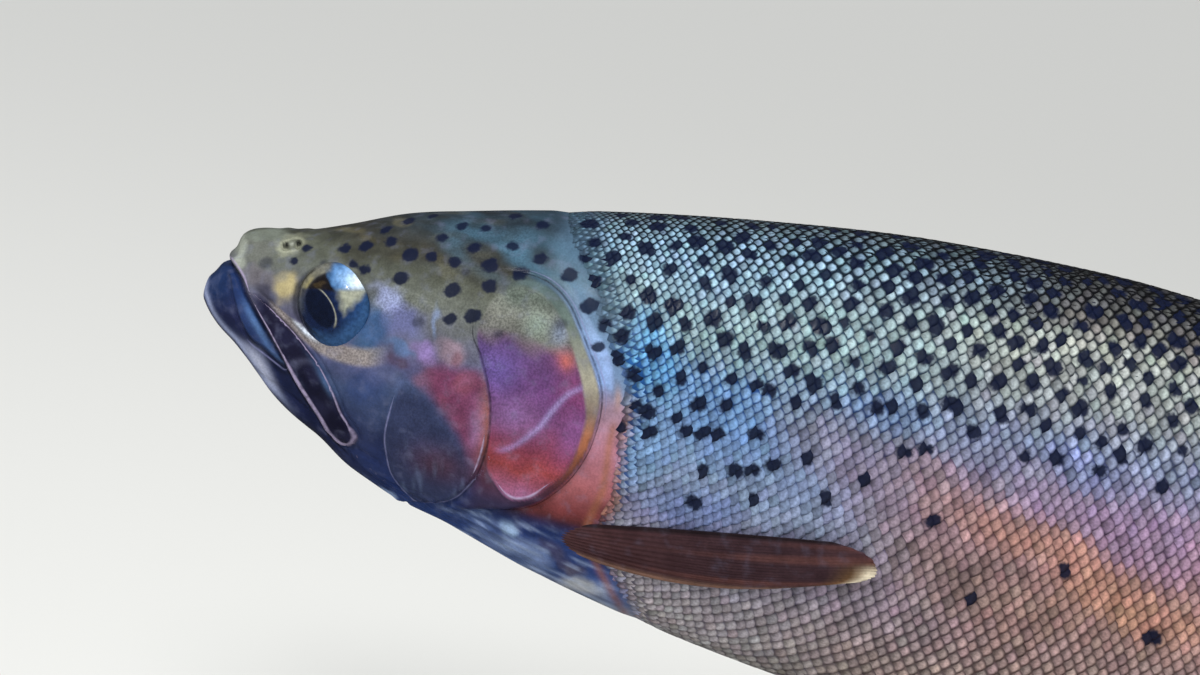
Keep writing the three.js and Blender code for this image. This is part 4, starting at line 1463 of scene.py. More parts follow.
@dataclass
class Skin:
    """One seamless skin over the whole body, fine on the head and coarse where scales cover it."""

    form: TroutForm
    place: FishPlace
    markings: Markings
    around: int = 320
    nose_rings: int = 46
    face: tuple[float, float] = (0.43, 46.0)
    cheek: tuple[float, float] = (0.52, 104.0)
    widest_step: float = 11.0
    head_end: float = 112.0
    under_scales: float = 0.55
    nodes: tuple[str, ...] = (
        "head", "lower_jaw", "maxilla_left", "maxilla_right", "gill_cover_left", "gill_cover_right",
        "trunk_front", "trunk_rear", "tail_stalk",
    )

    def rings(self) -> Array:
        """Places the skin's rings, closest on the face and widest apart on the trunk.

        Returns:
            The x of each ring.
        """
        turns = np.linspace(0, math.pi / 2, self.nose_rings)
        places = list(self.form.snout[0] + self.form.snout_round * (1 - np.cos(turns)))
        step, face_end = self.face
        while places[-1] < self.form.end:
            if places[-1] > self.cheek[1]:
                step = min(step * 1.16, self.widest_step)
            elif places[-1] > face_end:
                step = self.cheek[0]
            places.append(places[-1] + step)
        places[-1] = self.form.end
        return np.array(places)

    def build(self) -> bpy.types.Object:
        """Builds the skin and hides the solids that it stands for.

        Returns:
            The piece.
        """
        rings = self.rings()
        bm = bmesh.new()
        bmesh.ops.create_uvsphere(bm, u_segments=self.around, v_segments=len(rings), radius=1.0)
        mesh = finished(bm, "skin")
        x, y, z = positions(mesh).T
        ring = np.rint(np.arccos(np.clip(z, -1, 1)) / math.pi * len(rings)).astype(int)
        tip = ring == len(rings)
        along = rings[np.minimum(ring, len(rings) - 1)]
        turn = np.arctan2(y, x)
        angle = turn - 0.16 * np.sin(2 * turn)  # closer together on the flanks than on the back and belly
        points = self.form.surface(along, angle)
        middle = self.form.section(np.array([self.form.end]))[3][0]
        points[tip] = (self.form.end, 0, middle)
        move_to(mesh, points)
        face_outwards(mesh)
        self.raise_head(mesh, points, along)
        self.dress(mesh)
        move_to(mesh, self.place.posed(positions(mesh)))
        finish = WetSkin("wet trout skin", lines=HEAD_LINES, spots=self.markings.black)
        piece = new_piece("skin", mesh, finish.material())
        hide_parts(*self.nodes)
        return piece

    def raise_head(self, mesh: bpy.types.Mesh, points: Array, along: Array) -> None:
        """Moves the skin along its normals: the head's relief, and the room that the scales need.

        Args:
            mesh: The skin.
            points: Its points.
            along: The x of each point's ring.
        """
        normals = np.empty(len(mesh.vertices) * 3)
        mesh.vertices.foreach_get("normal", normals)
        normals = normals.reshape(-1, 3)
        x, y, z = points.T
        fore = x < self.head_end
        lift = np.zeros(len(points))
        from_belly = np.hypot(y, z - self.form.section(along)[1])
        lift[fore] = HeadRelief(self.markings.mapped(x[fore], z[fore])).lift(from_belly[fore])
        clear_of_nose = smooth(self.form.snout[0], self.form.snout[0] + 1.2, x)
        scaled = smooth(-3, 3, self.markings.lines.shoulder.offset(x, z))
        move_to(mesh, points + normals * (lift * clear_of_nose - self.under_scales * scaled)[:, None])

    def dress(self, mesh: bpy.types.Mesh) -> None:
        """Paints the skin, and marks where it is grainiest: round the eye and on top of the gill cover.

        Args:
            mesh: The skin, before it is posed.
        """
        x, y, z = positions(mesh).T
        at = self.markings.mapped(x, z)
        store_colours(mesh, "tone", self.markings.skin(x, y, z))
        store(mesh, "spot", self.markings.spots(x, y, z))
        for name, shares in self.markings.drawn_lines(x, z).items():
            store(mesh, name, np.clip(shares, -60, 60))
        behind = bump(np.hypot((x - 43) / 7, (z - 4) / 4), 0, 1)
        cover = smooth(0, 1, at.gill_cover) * (0.4 + 0.6 * smooth(3, 5, z))
        cheek = 0.3 * smooth(45, 55, x) * smooth(72, 70, x) * smooth(-40, -30, z)
        store(mesh, "grain", np.clip(0.45 + at.grainy_band + behind + cover + cheek, 0, 1.3))


# ------------------------------------------------------------------ the scales
@dataclass
class ScaleCoat:
    """The scales of one flank, in staggered rows that follow the lateral line, free edges to the rear."""

    form: TroutForm
    place: FishPlace
    markings: Markings
    spots: SpotField
    side: Side
    pitch: Curve = Curve((
        (45, 1.55), (70, 1.7), (98, 2.0), (118, 2.35), (145, 2.75), (200, 2.95), (270, 2.95), (340, 2.55),
        (400, 2.15), (458, 1.8),
    ))
    row_share: float = 0.8
    bands: tuple[float, ...] = (0, 178, 282, 470)
    across: int = 4
    along: int = 4
    most_rows: int = 60
    surveyed_from: float = 50.0
    first_column: float = 62.0
    first_scale: float = 72.0
    seed: int = 41

    def row_angles(self, sections: Array, rows: Array) -> Array:
        """Follows the rows along the flank.

        Args:
            sections: The x of each section.
            rows: The rows' numbers, up from the lateral line.

        Returns:
            For each section, the angle round it at which each row crosses it.
        """
        turns = np.linspace(-math.pi / 2, math.pi / 2, 241)
        found = []
        for x in sections:
            ring = self.form.surface(np.full(turns.shape, x), turns)
            arc = np.concatenate([[0], np.cumsum(np.hypot(*np.diff(ring[:, 1:], axis=0).T))])
            lateral = np.interp(float(self.spots.lateral(x)), ring[:, 2], arc)
            reach = lateral + rows * float(self.pitch(x)) * self.row_share
            found.append(np.interp(reach, arc, turns, left=np.nan, right=np.nan))
        return np.array(found)

    def lattice(self) -> tuple[Array, Array, Array]:
        """Lays out the scales, in columns that stay square to the rows.

        Returns:
            Each scale's x, its angle round the section, and its row's angle a millimetre further back.
        """
        columns = [self.first_column]
        while columns[-1] < self.form.end - 1:
            columns.append(columns[-1] + float(self.pitch(columns[-1])) / 2)
        most = self.most_rows
        sections, rows = np.arange(self.surveyed_from, self.form.end + 1), np.arange(-most, most + 1)
        table = self.row_angles(sections, rows)
        found = []
        for way in (1, -1):
            x = np.array(columns)
            for row in range(0 if way == 1 else 1, most):
                angle, ahead, beyond = (
                    np.interp(x + step, sections, table[:, most + way * number])
                    for step, number in ((0, row), (1, row), (0, row + 1))
                )
                here = self.form.surface(x, angle)
                forth, aside = self.form.surface(x + 1, ahead) - here, self.form.surface(x, beyond) - here
                mine = np.isfinite(angle + ahead) & ((row + np.arange(len(x))) % 2 == 0)
                mine &= (x > self.first_scale) & (x < self.form.end - 0.5)
                found.append(np.stack([x, angle, ahead])[:, mine])
                slip = np.sum(forth * aside, axis=1) / np.sum(forth * forth, axis=1)
                x = x - np.clip(np.nan_to_num(slip), -1.5, 1.5)
        x, angle, ahead = np.concatenate(found, axis=1)
        return x, angle, ahead

    def frames(self, x: Array, angle: Array, ahead: Array) -> tuple[Array, Array, Array, Array]:
        """Finds how each scale sits on the flank.

        Args:
            x: How far back each scale's root lies.
            angle: Its angle round the section.
            ahead: Its row's angle a millimetre further back.

        Returns:
            Each root point, and the scale's axes: rearwards, upwards round the flank, and outwards.
        """
        here = self.form.surface(x, angle)
        back = self.form.surface(x + 1, ahead) - here
        up = self.form.surface(x, angle + 0.004) - self.form.surface(x, angle - 0.004)
        back /= np.linalg.norm(back, axis=1)[:, None]
        up -= back * np.sum(up * back, axis=1)[:, None]
        up /= np.linalg.norm(up, axis=1)[:, None]
        out = np.cross(up, back)
        out *= np.sign(np.sum(out * np.stack([0 * x, np.cos(angle), np.sin(angle)], axis=1), axis=1))[:, None]
        return here, back, up, out

    def template(self) -> bpy.types.Mesh:
        """Builds one scale, flat, with a skirt under its free edge.

        Returns:
            Its mesh, from -1 to 1 each way.
        """
        bm = bmesh.new()
        bmesh.ops.create_grid(bm, x_segments=self.along, y_segments=self.across, size=1.0)
        free = [edge for edge in bm.edges if edge.is_boundary and min(v.co.x for v in edge.verts) > 0.999]
        made = bmesh.ops.extrude_edge_only(bm, edges=free)["geom"]
        skirt = [item for item in made if isinstance(item, bmesh.types.BMVert)]
        bmesh.ops.translate(bm, verts=skirt, vec=(0.0, 0.0, -1.0))
        return finished(bm, "scale")

    def shaped(self, flat: Array) -> Array:
        """Gives a template's points the form of a scale.

        Args:
            flat: Rows of the template's x, y and z, from -1 to 1.

        Returns:
            Rows along the body in pitches, across it in row steps, and outwards in millimetres.
        """
        u, v, drop = (flat[:, 0] + 1) / 2, flat[:, 1], flat[:, 2]
        edge = 0.66 - 0.6 * np.abs(v) ** 2.2
        along = -0.72 + u * (edge + 0.72)
        across = v * (0.98 - 0.16 * (1 - u) ** 2)
        rise = -0.3 + 0.6 * u ** 0.9 + 0.3 * (1 - v * v) * u - 0.2 * smooth(0.7, 1.0, u)
        return np.stack([along, across, np.where(drop < -0.5, rise - 0.4, rise)], axis=1)

    def spot_depths(self, places: Array, local: Array, axes: tuple[Array, Array]) -> Array:
        """Finds how deep each vertex of each scale lies in a black spot, which favours whole scales.

        Args:
            places: Each scale's root point.
            local: Each scale's vertices along and across, in millimetres.
            axes: The scales' rearward and upward axes.

        Returns:
            One row of millimetres for each scale.
        """
        thrown = self.spots.thrown(self.side)
        tree = KDTree(len(thrown))
        for index, row in enumerate(thrown):
            tree.insert(row[:3], index)
        tree.balance()
        near = np.array([tree.find(place)[1] for place in places])
        away = thrown[near, :3] - places
        to_x = np.sum(away * axes[0], axis=1)[:, None]
        to_up = np.sum(away * axes[1], axis=1)[:, None]
        whole = np.hypot(to_x, to_up)
        each = np.hypot(local[..., 0] - to_x, local[..., 1] - to_up)
        return np.maximum(thrown[near, 3][:, None] - 0.5 * whole - 0.5 * each, -9)

    def build(self, material: bpy.types.Material) -> list[bpy.types.Object]:
        """Builds the flank's scales as a few joined meshes.

        Args:
            material: Their finish.

        Returns:
            The pieces, from head to tail.
        """
        x, angle, ahead = self.lattice()
        z = self.form.surface(x, angle)[:, 2]
        ragged = 0.9 * (1 + mottle(x, z, 4, 22)) * smooth(4, 14, z)
        keep = self.markings.lines.shoulder.offset(x, z) > 0.55 * self.pitch(x) + ragged
        x, angle, ahead, z = x[keep], angle[keep], ahead[keep], z[keep]
        dice = np.random.default_rng(self.seed + self.side)
        places, back, up, out = self.frames(x, angle, ahead)
        for rows in (places, back, up, out):
            rows[:, 1] *= self.side
        mesh = self.template()
        flat = positions(mesh)
        form = self.shaped(flat)
        pitch = self.pitch(x)[:, None]
        size = dice.uniform(0.98, 1.1, (len(x), 1))
        drift = 0.09 * mottle(x, z, 22, 20)[:, None], 0.09 * mottle(x, z, 22, 21)[:, None]
        along = (form[:, 0] * size + dice.normal(0, 0.05, (len(x), 1)) + drift[0]) * pitch
        across = (form[:, 1] * self.row_share * size + dice.normal(0, 0.03, (len(x), 1)) + drift[1]) * pitch
        tilt = dice.normal(0, 0.035, (len(x), 1))
        along, across = along - across * tilt, across + along * tilt
        edge = self.markings.lines.shoulder.offset(x, z)[:, None]
        buried = 0.1 + 0.45 * smooth(8, 0, edge)
        rise = form[:, 2] * (0.22 + 0.08 * pitch) * dice.uniform(0.92, 1.08, (len(x), 1)) - buried
        points = places[:, None] + along[..., None] * back[:, None]
        points = points + across[..., None] * up[:, None] + rise[..., None] * out[:, None]
        centred = np.stack([along - 0.3 * pitch, across], axis=2)
        spot = self.spot_depths(places + 0.3 * pitch * back, centred, (back, up))
        pieces = []
        for number, (start, end) in enumerate(zip(self.bands, self.bands[1:])):
            chosen = np.flatnonzero((x >= start) & (x < end))
            name = f"scales_{self.side.name.lower()}_{number + 1}"
            joined = self.joined(mesh, points[chosen])
            store(joined, "spot", spot[chosen].ravel())
            self.colour(joined, x[chosen], z[chosen], angle[chosen], dice)
            self.unwrap(joined, flat, x[chosen], z[chosen], angle[chosen])
            piece = new_piece(name, joined, material)
            pieces.append(piece)
        return pieces

    def joined(self, template: bpy.types.Mesh, points: Array) -> bpy.types.Mesh:
        """Joins copies of the template, each with its own points, into one mesh.

        Args:
            template: The mesh that is copied.
            points: For each copy, rows of x, y and z in the fish's frame.

        Returns:
            The joined mesh, in the part's frame.
        """
        copies, count = points.shape[:2]
        corners = loop_vertices(template)
        sizes = np.array([p.loop_total for p in template.polygons], dtype=np.int32)
        starts = np.concatenate([[0], np.cumsum(sizes)[:-1]]).astype(np.int32)
        if self.side == Side.LEFT:  # mirrored axes turn the faces over, so they are turned back
            corners = np.concatenate([corners[s : s + n][::-1] for s, n in zip(starts, sizes)])
        steps = np.arange(copies, dtype=np.int32)[:, None]
        mesh = bpy.data.meshes.new("scales")
        mesh.vertices.add(copies * count)
        mesh.loops.add(copies * len(corners))
        mesh.polygons.add(copies * len(sizes))
        mesh.vertices.foreach_set("co", self.place.posed(points.reshape(-1, 3)).astype(np.float32).ravel())
        mesh.loops.foreach_set("vertex_index", (corners[None] + steps * count).ravel().astype(np.int32))
        starts = (starts[None] + steps * len(corners)).ravel().astype(np.int32)
        mesh.polygons.foreach_set("loop_start", starts)
        mesh.update(calc_edges=True)
        return mesh

    def colour(
        self, mesh: bpy.types.Mesh, x: Array, z: Array, angle: Array, dice: np.random.Generator
    ) -> None:
        """Paints each scale's middle and the tone round it, with warm painted glints on some scales by the
        shoulder.

        Args:
            mesh: The joined scales.
            x: How far back each scale's root lies.
            z: Its height.
            angle: Its angle round the section.
            dice: Draws how the scales differ.
        """
        count = len(mesh.vertices) // len(x)
        pale, deep = self.markings.flank(x, z)
        behind = self.markings.lines.shoulder.offset(x, z)
        above = smooth(13, 1, behind) * smooth(4, 14, z)
        blend = (above + 0.8 * smooth(4.4, 1.4, behind) * smooth(10, 2, z))[:, None]
        bare = self.markings.head(x, self.side * self.form.surface(x, angle)[:, 1], z)
        # Painted glints: a warm amber tint on random scales by the shoulder's edge.
        warm = smooth(5, 0.5, behind) * smooth(4, -4, z) * dice.uniform(0.0, 1.0, len(x))
        light = dice.normal(1.0, 0.15, (len(x), 1, 1)) * dice.normal(1.0, 0.025, (len(x), 1, 3))
        high = self.form.height_share(x, z)
        level = 0.88 - 0.06 * bump(high, 0.0, 0.4) + 0.25 * smooth(-0.3, -0.6, high)
        level = level + 0.16 * smooth(150, 215, x)
        light = light * level[:, None, None] * (1 + 0.1 * mottle(x, z, 11, 19))[:, None, None]
        # Near the shoulder both tones take the bare skin's colour, made lighter for the middles and darker
        # between the scales, as painted light and shade.
        for name, rows, strength, amber, share in (
            ("pale", pale, 1.2, "#a98062", 0.6), ("deep", deep, 0.8, "#54302a", 0.9),
        ):
            paint = Paint(rows + (strength * bare - rows) * 0.95 * blend)
            paint.coat(amber, share * warm)
            lit = paint.rows[:, None] * light
            store_colours(mesh, name, np.broadcast_to(lit, (len(x), count, 3)).reshape(-1, 3))

    def unwrap(self, mesh: bpy.types.Mesh, flat: Array, x: Array, z: Array, angle: Array) -> None:
        """Maps each scale's own face, and its patch on the flank's unwrap.

        Args:
            mesh: The joined scales.
            flat: The template's points.
            x: How far back each scale's root lies.
            z: Its height.
            angle: Its angle round the section.
        """
        count, high = len(flat), self.form.height_share(x, z)
        form = self.shaped(flat)
        corners = loop_vertices(mesh)
        wide = 0.84 - 0.23 * smooth(-0.1, 0.35, high) - 0.17 * smooth(140, 190, x) * smooth(0.2, -0.1, high)
        # Near the top of the back the pale middles shrink to small dots, painted highlights on its dark
        # scales.
        wide = wide - 0.12 * smooth(0.62, 0.95, high) - 0.1 * smooth(-0.3, -0.6, high)
        wide = np.repeat(wide, count)
        face = np.stack([(form[:, 0] - 0.12) / 0.95, form[:, 1] / 1.2], axis=1)
        face = np.tile(face, (len(x), 1)) / wide[:, None]
        map_loops(mesh, "ScaleFace", face[corners])
        root = np.stack([(x - 60) / 410, angle / math.pi + 0.5], axis=1)
        patch = np.repeat(root, count, axis=0) + np.tile(flat[:, :2] * 0.0015, (len(x), 1))
        map_loops(mesh, "OFBake", patch[corners])
        mesh.uv_layers["ScaleFace"].active_render = True


# ------------------------------------------------------------------ the fins
@dataclass(frozen=True)
class FinTone:
    """A fin's colours: root, outer part, rays, first and last edges and tip, and how spotted it is."""

    root: str
    outer: str
    ray: str
    edge: str
    tip: str
    spots: float = 0.0
    edge_width: float = 0.06
    tip_width: float = 0.08
    last: str = ""
    base: Stops = ()


@dataclass
class Fin:
    """A rayed fin: a thin plate whose bony rays fork twice on the way out, with a slightly frayed edge."""

    piece: str
    slot: str
    root: Points
    angles: tuple[float, float]
    lengths: tuple[float, ...]
    tone: FinTone
    bend: tuple[float, float] = (0.0, 0.0)
    thick: tuple[float, float] = (3.2, 1.1)
    rays: int = 12
    detail: int = 14
    rows: int = 44
    ray_height: float = 0.2
    fray: float = 0.012
    wave: float = 0.5
    tries: int = 1400
    seed: int = 5
    stand: Callable[[Array], Array] = field(default=lambda points: points)

    def sheet(self, across: Array, out: Array, half: Array) -> Array:
        """Places points of the fin.

        Args:
            across: 0 on the first ray to 1 on the last.
            out: 0 at the root to 1 at the tips.
            half: -1 on one face and 1 on the other.

        Returns:
            Rows of x, y and z in the fish's frame.
        """
        (first_x, first_z), (last_x, last_z) = self.root
        length = Curve(tuple((i / (len(self.lengths) - 1), v) for i, v in enumerate(self.lengths)))(across)
        lean = np.radians(self.angles[0] + (self.angles[1] - self.angles[0]) * across)
        nicks = 4 * self.rays + 1
        nick = np.random.default_rng(self.seed).uniform(-1, 1, nicks + 1)
        ragged = 1 + self.fray * np.interp(across * nicks, np.arange(nicks + 1), nick) * out**6
        reach = length * out * ragged
        lift = (self.bend[0] + (self.bend[1] - self.bend[0]) * across) * out * out
        x = first_x + (last_x - first_x) * across + reach * np.cos(lean)
        z = first_z + (last_z - first_z) * across + reach * np.sin(lean) + lift
        full = self.thick[0] + (self.thick[1] - self.thick[0]) * out**0.6
        rim = np.sqrt(np.clip(4 * across * (1 - across), 0, 1))
        thickness = np.maximum(0.6, full * (0.4 + 0.6 * rim)) - 0.15
        ridge = self.ridges(across, out) * self.ray_height * smooth(0.0, 0.12, out) * (0.4 + 0.6 * rim)
        y = half * (thickness / 2 + ridge)
        y = y + self.wave * np.sin(across * 5.2 + 0.8) * out**2
        return self.stand(np.stack([x, y, z], axis=1))

    def ridges(self, across: Array, out: Array) -> Array:
        """Gives the rays' height as they fork twice.

        Args:
            across: 0 on the first ray to 1 on the last.
            out: 0 at the root to 1 at the tips.

        Returns:
            Values from -1 between rays to 1 on them.
        """
        turn = 2 * math.pi * self.rays * across
        first = smooth(0.38, 0.5, out)
        second = smooth(0.68, 0.8, out)
        single, double, quadruple = -np.cos(turn), -np.cos(2 * turn), -np.cos(4 * turn)
        joined = single * (1 - first) + (0.35 * single + 0.65 * double) * first
        return joined * (1 - second) + (0.2 * single + 0.3 * double + 0.5 * quadruple) * second

    def colours(self, across: Array, out: Array, places: Array) -> Array:
        """Paints the fin: its ground, rays, edge, tip and spots.

        Args:
            across: 0 on the first ray to 1 on the last.
            out: 0 at the root to 1 at the tips.
            places: The same points in the fish's frame.

        Returns:
            Rows of colour.
        """
        tone = self.tone
        paint = Paint(np.tile(linear(tone.root), (len(out), 1)))
        paint.coat(tone.outer, smooth(0.0, 0.7, out))
        paint.coat(tone.ray, 0.55 * smooth(0.0, 1.0, self.ridges(across, out)))
        paint.coat(tone.edge, 0.8 * smooth(tone.edge_width * 1.6, tone.edge_width * 0.4, across))
        tips = smooth(1 - 1.6 * tone.tip_width, 1 - 0.3 * tone.tip_width, out)
        if tone.last:  # with a painted glow of brown-gold light before the tips, and white on the last rays' tips alone
            paint.coat(tone.last, 0.75 * smooth(0.8, 1.0, across))
            paint.coat("#6a4038", 0.4 * smooth(0.1, 1.3, mottle(34 * across, 5 * out, 8, 30)))
            # Painted light: a brown-gold glow before the tips.
            paint.coat("#7a5a30", 0.7 * smooth(0.86, 0.97, out) * smooth(0.3, 0.6, across))
            tips = tips * smooth(0.35, 0.6, across)
        paint.coat(tone.tip, 0.85 * tips)
        if tone.base:  # the flank's colours run out over the rays in a curve
            run = out - 0.1 * (1 - (2 * across - 1) ** 2) + 0.02 * mottle(40 * across, 40 * out, 3, 31)
            paint.cover(ramp(across, tone.base), 0.85 * smooth(0.1, -0.03, run))
        if tone.spots:
            for centre, radius in self.spots():
                distance = np.linalg.norm(places - centre, axis=1)
                paint.coat("#13141a", 0.88 * smooth(radius + 1.5, radius, distance))
        return paint.rows

    def spots(self) -> list[tuple[Array, float]]:
        """Throws the fin's black spots so that no two crowd each other.

        Returns:
            Each spot's middle and radius.
        """
        dice = np.random.default_rng(self.seed + 3)
        room = 4.6 / self.tone.spots
        thrown = []
        for _ in range(self.tries):
            across, out, radius = dice.uniform(0.03, 0.97), dice.uniform(0.05, 0.95), dice.uniform(1.0, 1.9)
            middle = self.sheet(np.array([across]), np.array([out]), np.array([0.0]))[0]
            if all(np.sum((middle - other) ** 2) > room**2 for other, _ in thrown):
                thrown.append((middle, radius))
        return thrown

    def build(self, place: FishPlace, material: bpy.types.Material) -> bpy.types.Object:
        """Builds the fin as a closed plate that stands for its solid.

        Args:
            place: Where the fish stands.
            material: The fins' finish.

        Returns:
            The piece.
        """
        bm = bmesh.new()
        bmesh.ops.create_grid(bm, x_segments=self.rays * self.detail, y_segments=self.rows, size=1.0)
        made = bmesh.ops.extrude_face_region(bm, geom=bm.faces[:], use_keep_orig=True)["geom"]
        far = [item for item in made if isinstance(item, bmesh.types.BMVert)]
        bmesh.ops.translate(bm, verts=far, vec=(0.0, 0.0, 2.0))
        mesh = finished(bm, self.piece)
        u, v, w = positions(mesh).T
        across, out, half = (u + 1) / 2, (v + 1) / 2, np.where(w > 1, 1.0, -1.0)
        points = self.sheet(across, out, half)
        store_colours(mesh, "tone", self.colours(across, out, points))
        store(mesh, "grain", np.full(len(points), 0.6))
        move_to(mesh, place.posed(points))
        face_outwards(mesh)
        piece = new_piece(self.piece, mesh, material)
        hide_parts(self.piece)
        self.slot
        return piece


@dataclass(frozen=True)
class AlongFlank:
    """Lays a paired fin along the flank, standing off further towards its tip."""

    form: TroutForm
    side: Side
    root_x: float = 86.0
    reach: float = 82.0
    inset: float = 3.6
    stand_off: float = 3.4

    def __call__(self, points: Array) -> Array:
        """Moves rows of points out to the flank.

        Args:
            points: The fin in the middle plane.

        Returns:
            The fin on the flank.
        """
        x, y, z = points.T
        out = np.clip((x - self.root_x) / self.reach, 0, 1)
        off = -self.inset + (self.stand_off + self.inset) * np.sqrt(out)
        return np.stack([x, self.side * (self.form.side(x, z) + off + y), z], axis=1)


@dataclass(frozen=True)
class UnderBelly:
    """Hangs a paired fin under the flank: it flares out towards its tip, and its sheet leans."""

    form: TroutForm
    side: Side
    x: float = 238.0
    z: float = -64.0
    inset: float = 1.5
    flare: float = 5.0
    lean: float = 32.0

    def __call__(self, points: Array) -> Array:
        """Turns and moves rows of points to the belly.

        Args:
            points: The fin in its own frame.

        Returns:
            The fin in the fish's frame.
        """
        out = self.form.side_at(self.x, self.z) - self.inset
        lean, flare = math.radians(self.side * self.lean), math.radians(self.side * self.flare)
        turn = Euler((lean, 0, flare)).to_matrix()
        return points @ np.array(turn).T + np.array([self.x, self.side * out, self.z])


# ------------------------------------------------------------------ the eyes
@dataclass
class Eye:
    """One eye: a flattened ball with a forward-looking pupil, set in its socket."""

    form: TroutForm
    place: EyePlace
    side: Side
    sunk: float = 2.3
    radii: tuple[float, float, float] = (10.5, 4.6, 9.4)
    pupil: tuple[float, float] = (-2.5, -1.8)
    pupil_lean: float = 45.0

    def colours(self, x: Array, z: Array) -> Array:
        """Paints the eye from its pupil out, with a painted reflection over its top: a dark band, sky blue
        and a white highlight.

        Args:
            x: How far behind the eye's middle each point lies.
            z: How far above it.

        Returns:
            Linear colours.
        """
        reach = np.hypot(x / 9.6, (z - 0.5) / 8.7)
        radius = np.hypot(x, z - 0.3)
        streak, cloud = mottle(x, z, 2.2, 8), mottle(x, z, 3.4, 18)
        ground = ((-9, "#34383e"), (-6, "#15203c"), (2, "#132446"), (7, "#1f3c66"), (10, "#365680"))
        paint = Paint(ramp(x, ground))
        ahead = smooth(6.3, 7.1, radius) * smooth(1, -4, x) * smooth(-5, -1, z)
        paint.coat("#62676a", 0.75 * ahead)
        gold = ahead * smooth(-1.5, 2.0, z) * (1 - 0.6 * smooth(3.5, 6.5, z))
        paint.coat("#8f8558", (0.6 + 0.15 * streak) * gold)
        paint.coat("#0e1016", 0.8 * bump(radius, 8.5, 0.3) * smooth(1, -3, x) * smooth(8, 5, z))
        paint.coat("#8f9298", 0.35 * bump(radius, 6.4, 0.25) * smooth(-1, -4, x) * smooth(-3, 1, z))
        # Above this slanting line the eye's top is painted with a reflection: a dark band across the iris,
        # and sky blue to the rear with a white highlight. The pupil shows only below the line.
        level = z - 3.1 - 0.24 * x
        top = smooth(-0.6, 0.4, level)
        dusky = top * smooth(7.2, 6.4, radius)
        paint.coat("#16110e", 0.92 * dusky)
        flecks = smooth(0.3, 1.2, mottle(0.3 * x, z, 1.6, 8))
        paint.coat("#57482a", 0.35 * dusky * flecks * smooth(1, -3, x))
        sky = np.hypot((x - 3.6) / 6.4, (z - 6.9) / 4.2) + 0.1 * cloud + 0.05 * streak
        blue = top * smooth(1.08, 0.7, sky)
        paint.coat("#2f6198", 0.9 * blue)
        paint.coat("#8db6e2", 0.8 * blue * bump(sky, 0.1, 0.6))
        # Painted highlight: the white core of the reflection.
        paint.coat("#f0faff", 0.9 * top * bump(np.hypot((x - 5.2) / 2.2, (z - 6.3) / 1.9), 0, 1))
        narrow = z - 1.5 * np.abs(x - 3.7 + 0.3 * streak) + 1.2 + 0.4 * cloud
        wedge = smooth(0.9, -0.4, level) * smooth(-2.0, 1.8, narrow)
        paint.coat("#9a9c88", 0.85 * wedge)
        paint.coat("#30527c", 0.75 * smooth(0.55, 0.95, reach) * smooth(2, 8, x - z))
        lean = math.radians(self.pupil_lean)
        px, pz = x - self.pupil[0], z - self.pupil[1]
        wide, tall = px * math.cos(lean) + pz * math.sin(lean), pz * math.cos(lean) - px * math.sin(lean)
        oval = np.hypot(wide / 2.9, tall / 5.1)
        below = smooth(0.6, -0.2, level)
        paint.coat("#0c1836", 0.8 * smooth(1.8, 1.1, oval) * below)
        paint.coat("#a9a893", 0.75 * smooth(0.2, 1.6, wide) * bump(oval, 1.1, 0.045) * below)
        paint.coat("#081024", smooth(1.06, 0.92, oval) * below)
        paint.coat("#14171e", 0.6 * smooth(0.93, 1.0, reach) * smooth(2, -4, x))
        return paint.rows

    def build(self, place: FishPlace, material: bpy.types.Material) -> bpy.types.Object:
        """Builds the eye in place of its solid.

        Args:
            place: Where the fish stands.
            material: The eye's finish.

        Returns:
            The piece.
        """
        name = f"eye_{self.side.name.lower()}"
        bm = bmesh.new()
        bmesh.ops.create_uvsphere(bm, u_segments=160, v_segments=112, radius=1.0)
        look = Vector((-0.24, self.side, 0.14)).normalized()
        turn = Vector((0, 1, 0)).rotation_difference(look).to_matrix().to_4x4()
        for vert in bm.verts:  # closer rings on the side that shows
            turned = math.acos(max(-1.0, min(1.0, vert.co.z)))
            closer = math.pi * (turned / math.pi) ** 1.6
            wide = math.sin(closer) / max(math.sin(turned), 1e-9)
            vert.co = (vert.co.x * wide, vert.co.y * wide, math.cos(closer))
        bmesh.ops.rotate(bm, verts=bm.verts, matrix=Matrix.Rotation(-math.pi / 2, 3, "X"))
        bmesh.ops.scale(bm, verts=bm.verts, vec=self.radii)
        bmesh.ops.transform(bm, verts=bm.verts, matrix=turn)
        x, z = self.place.centre
        seat = Vector((x, self.side * self.form.side_at(x, z), z))
        bmesh.ops.translate(bm, verts=bm.verts, vec=seat - look * self.sunk)
        mesh = finished(bm, name)
        points = positions(mesh)
        store_colours(mesh, "tone", self.colours(points[:, 0] - x, points[:, 2] - z - 0.5))
        move_to(mesh, place.posed(points))
        face_outwards(mesh)
        piece = new_piece(name, mesh, material)
        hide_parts(name)
        return piece


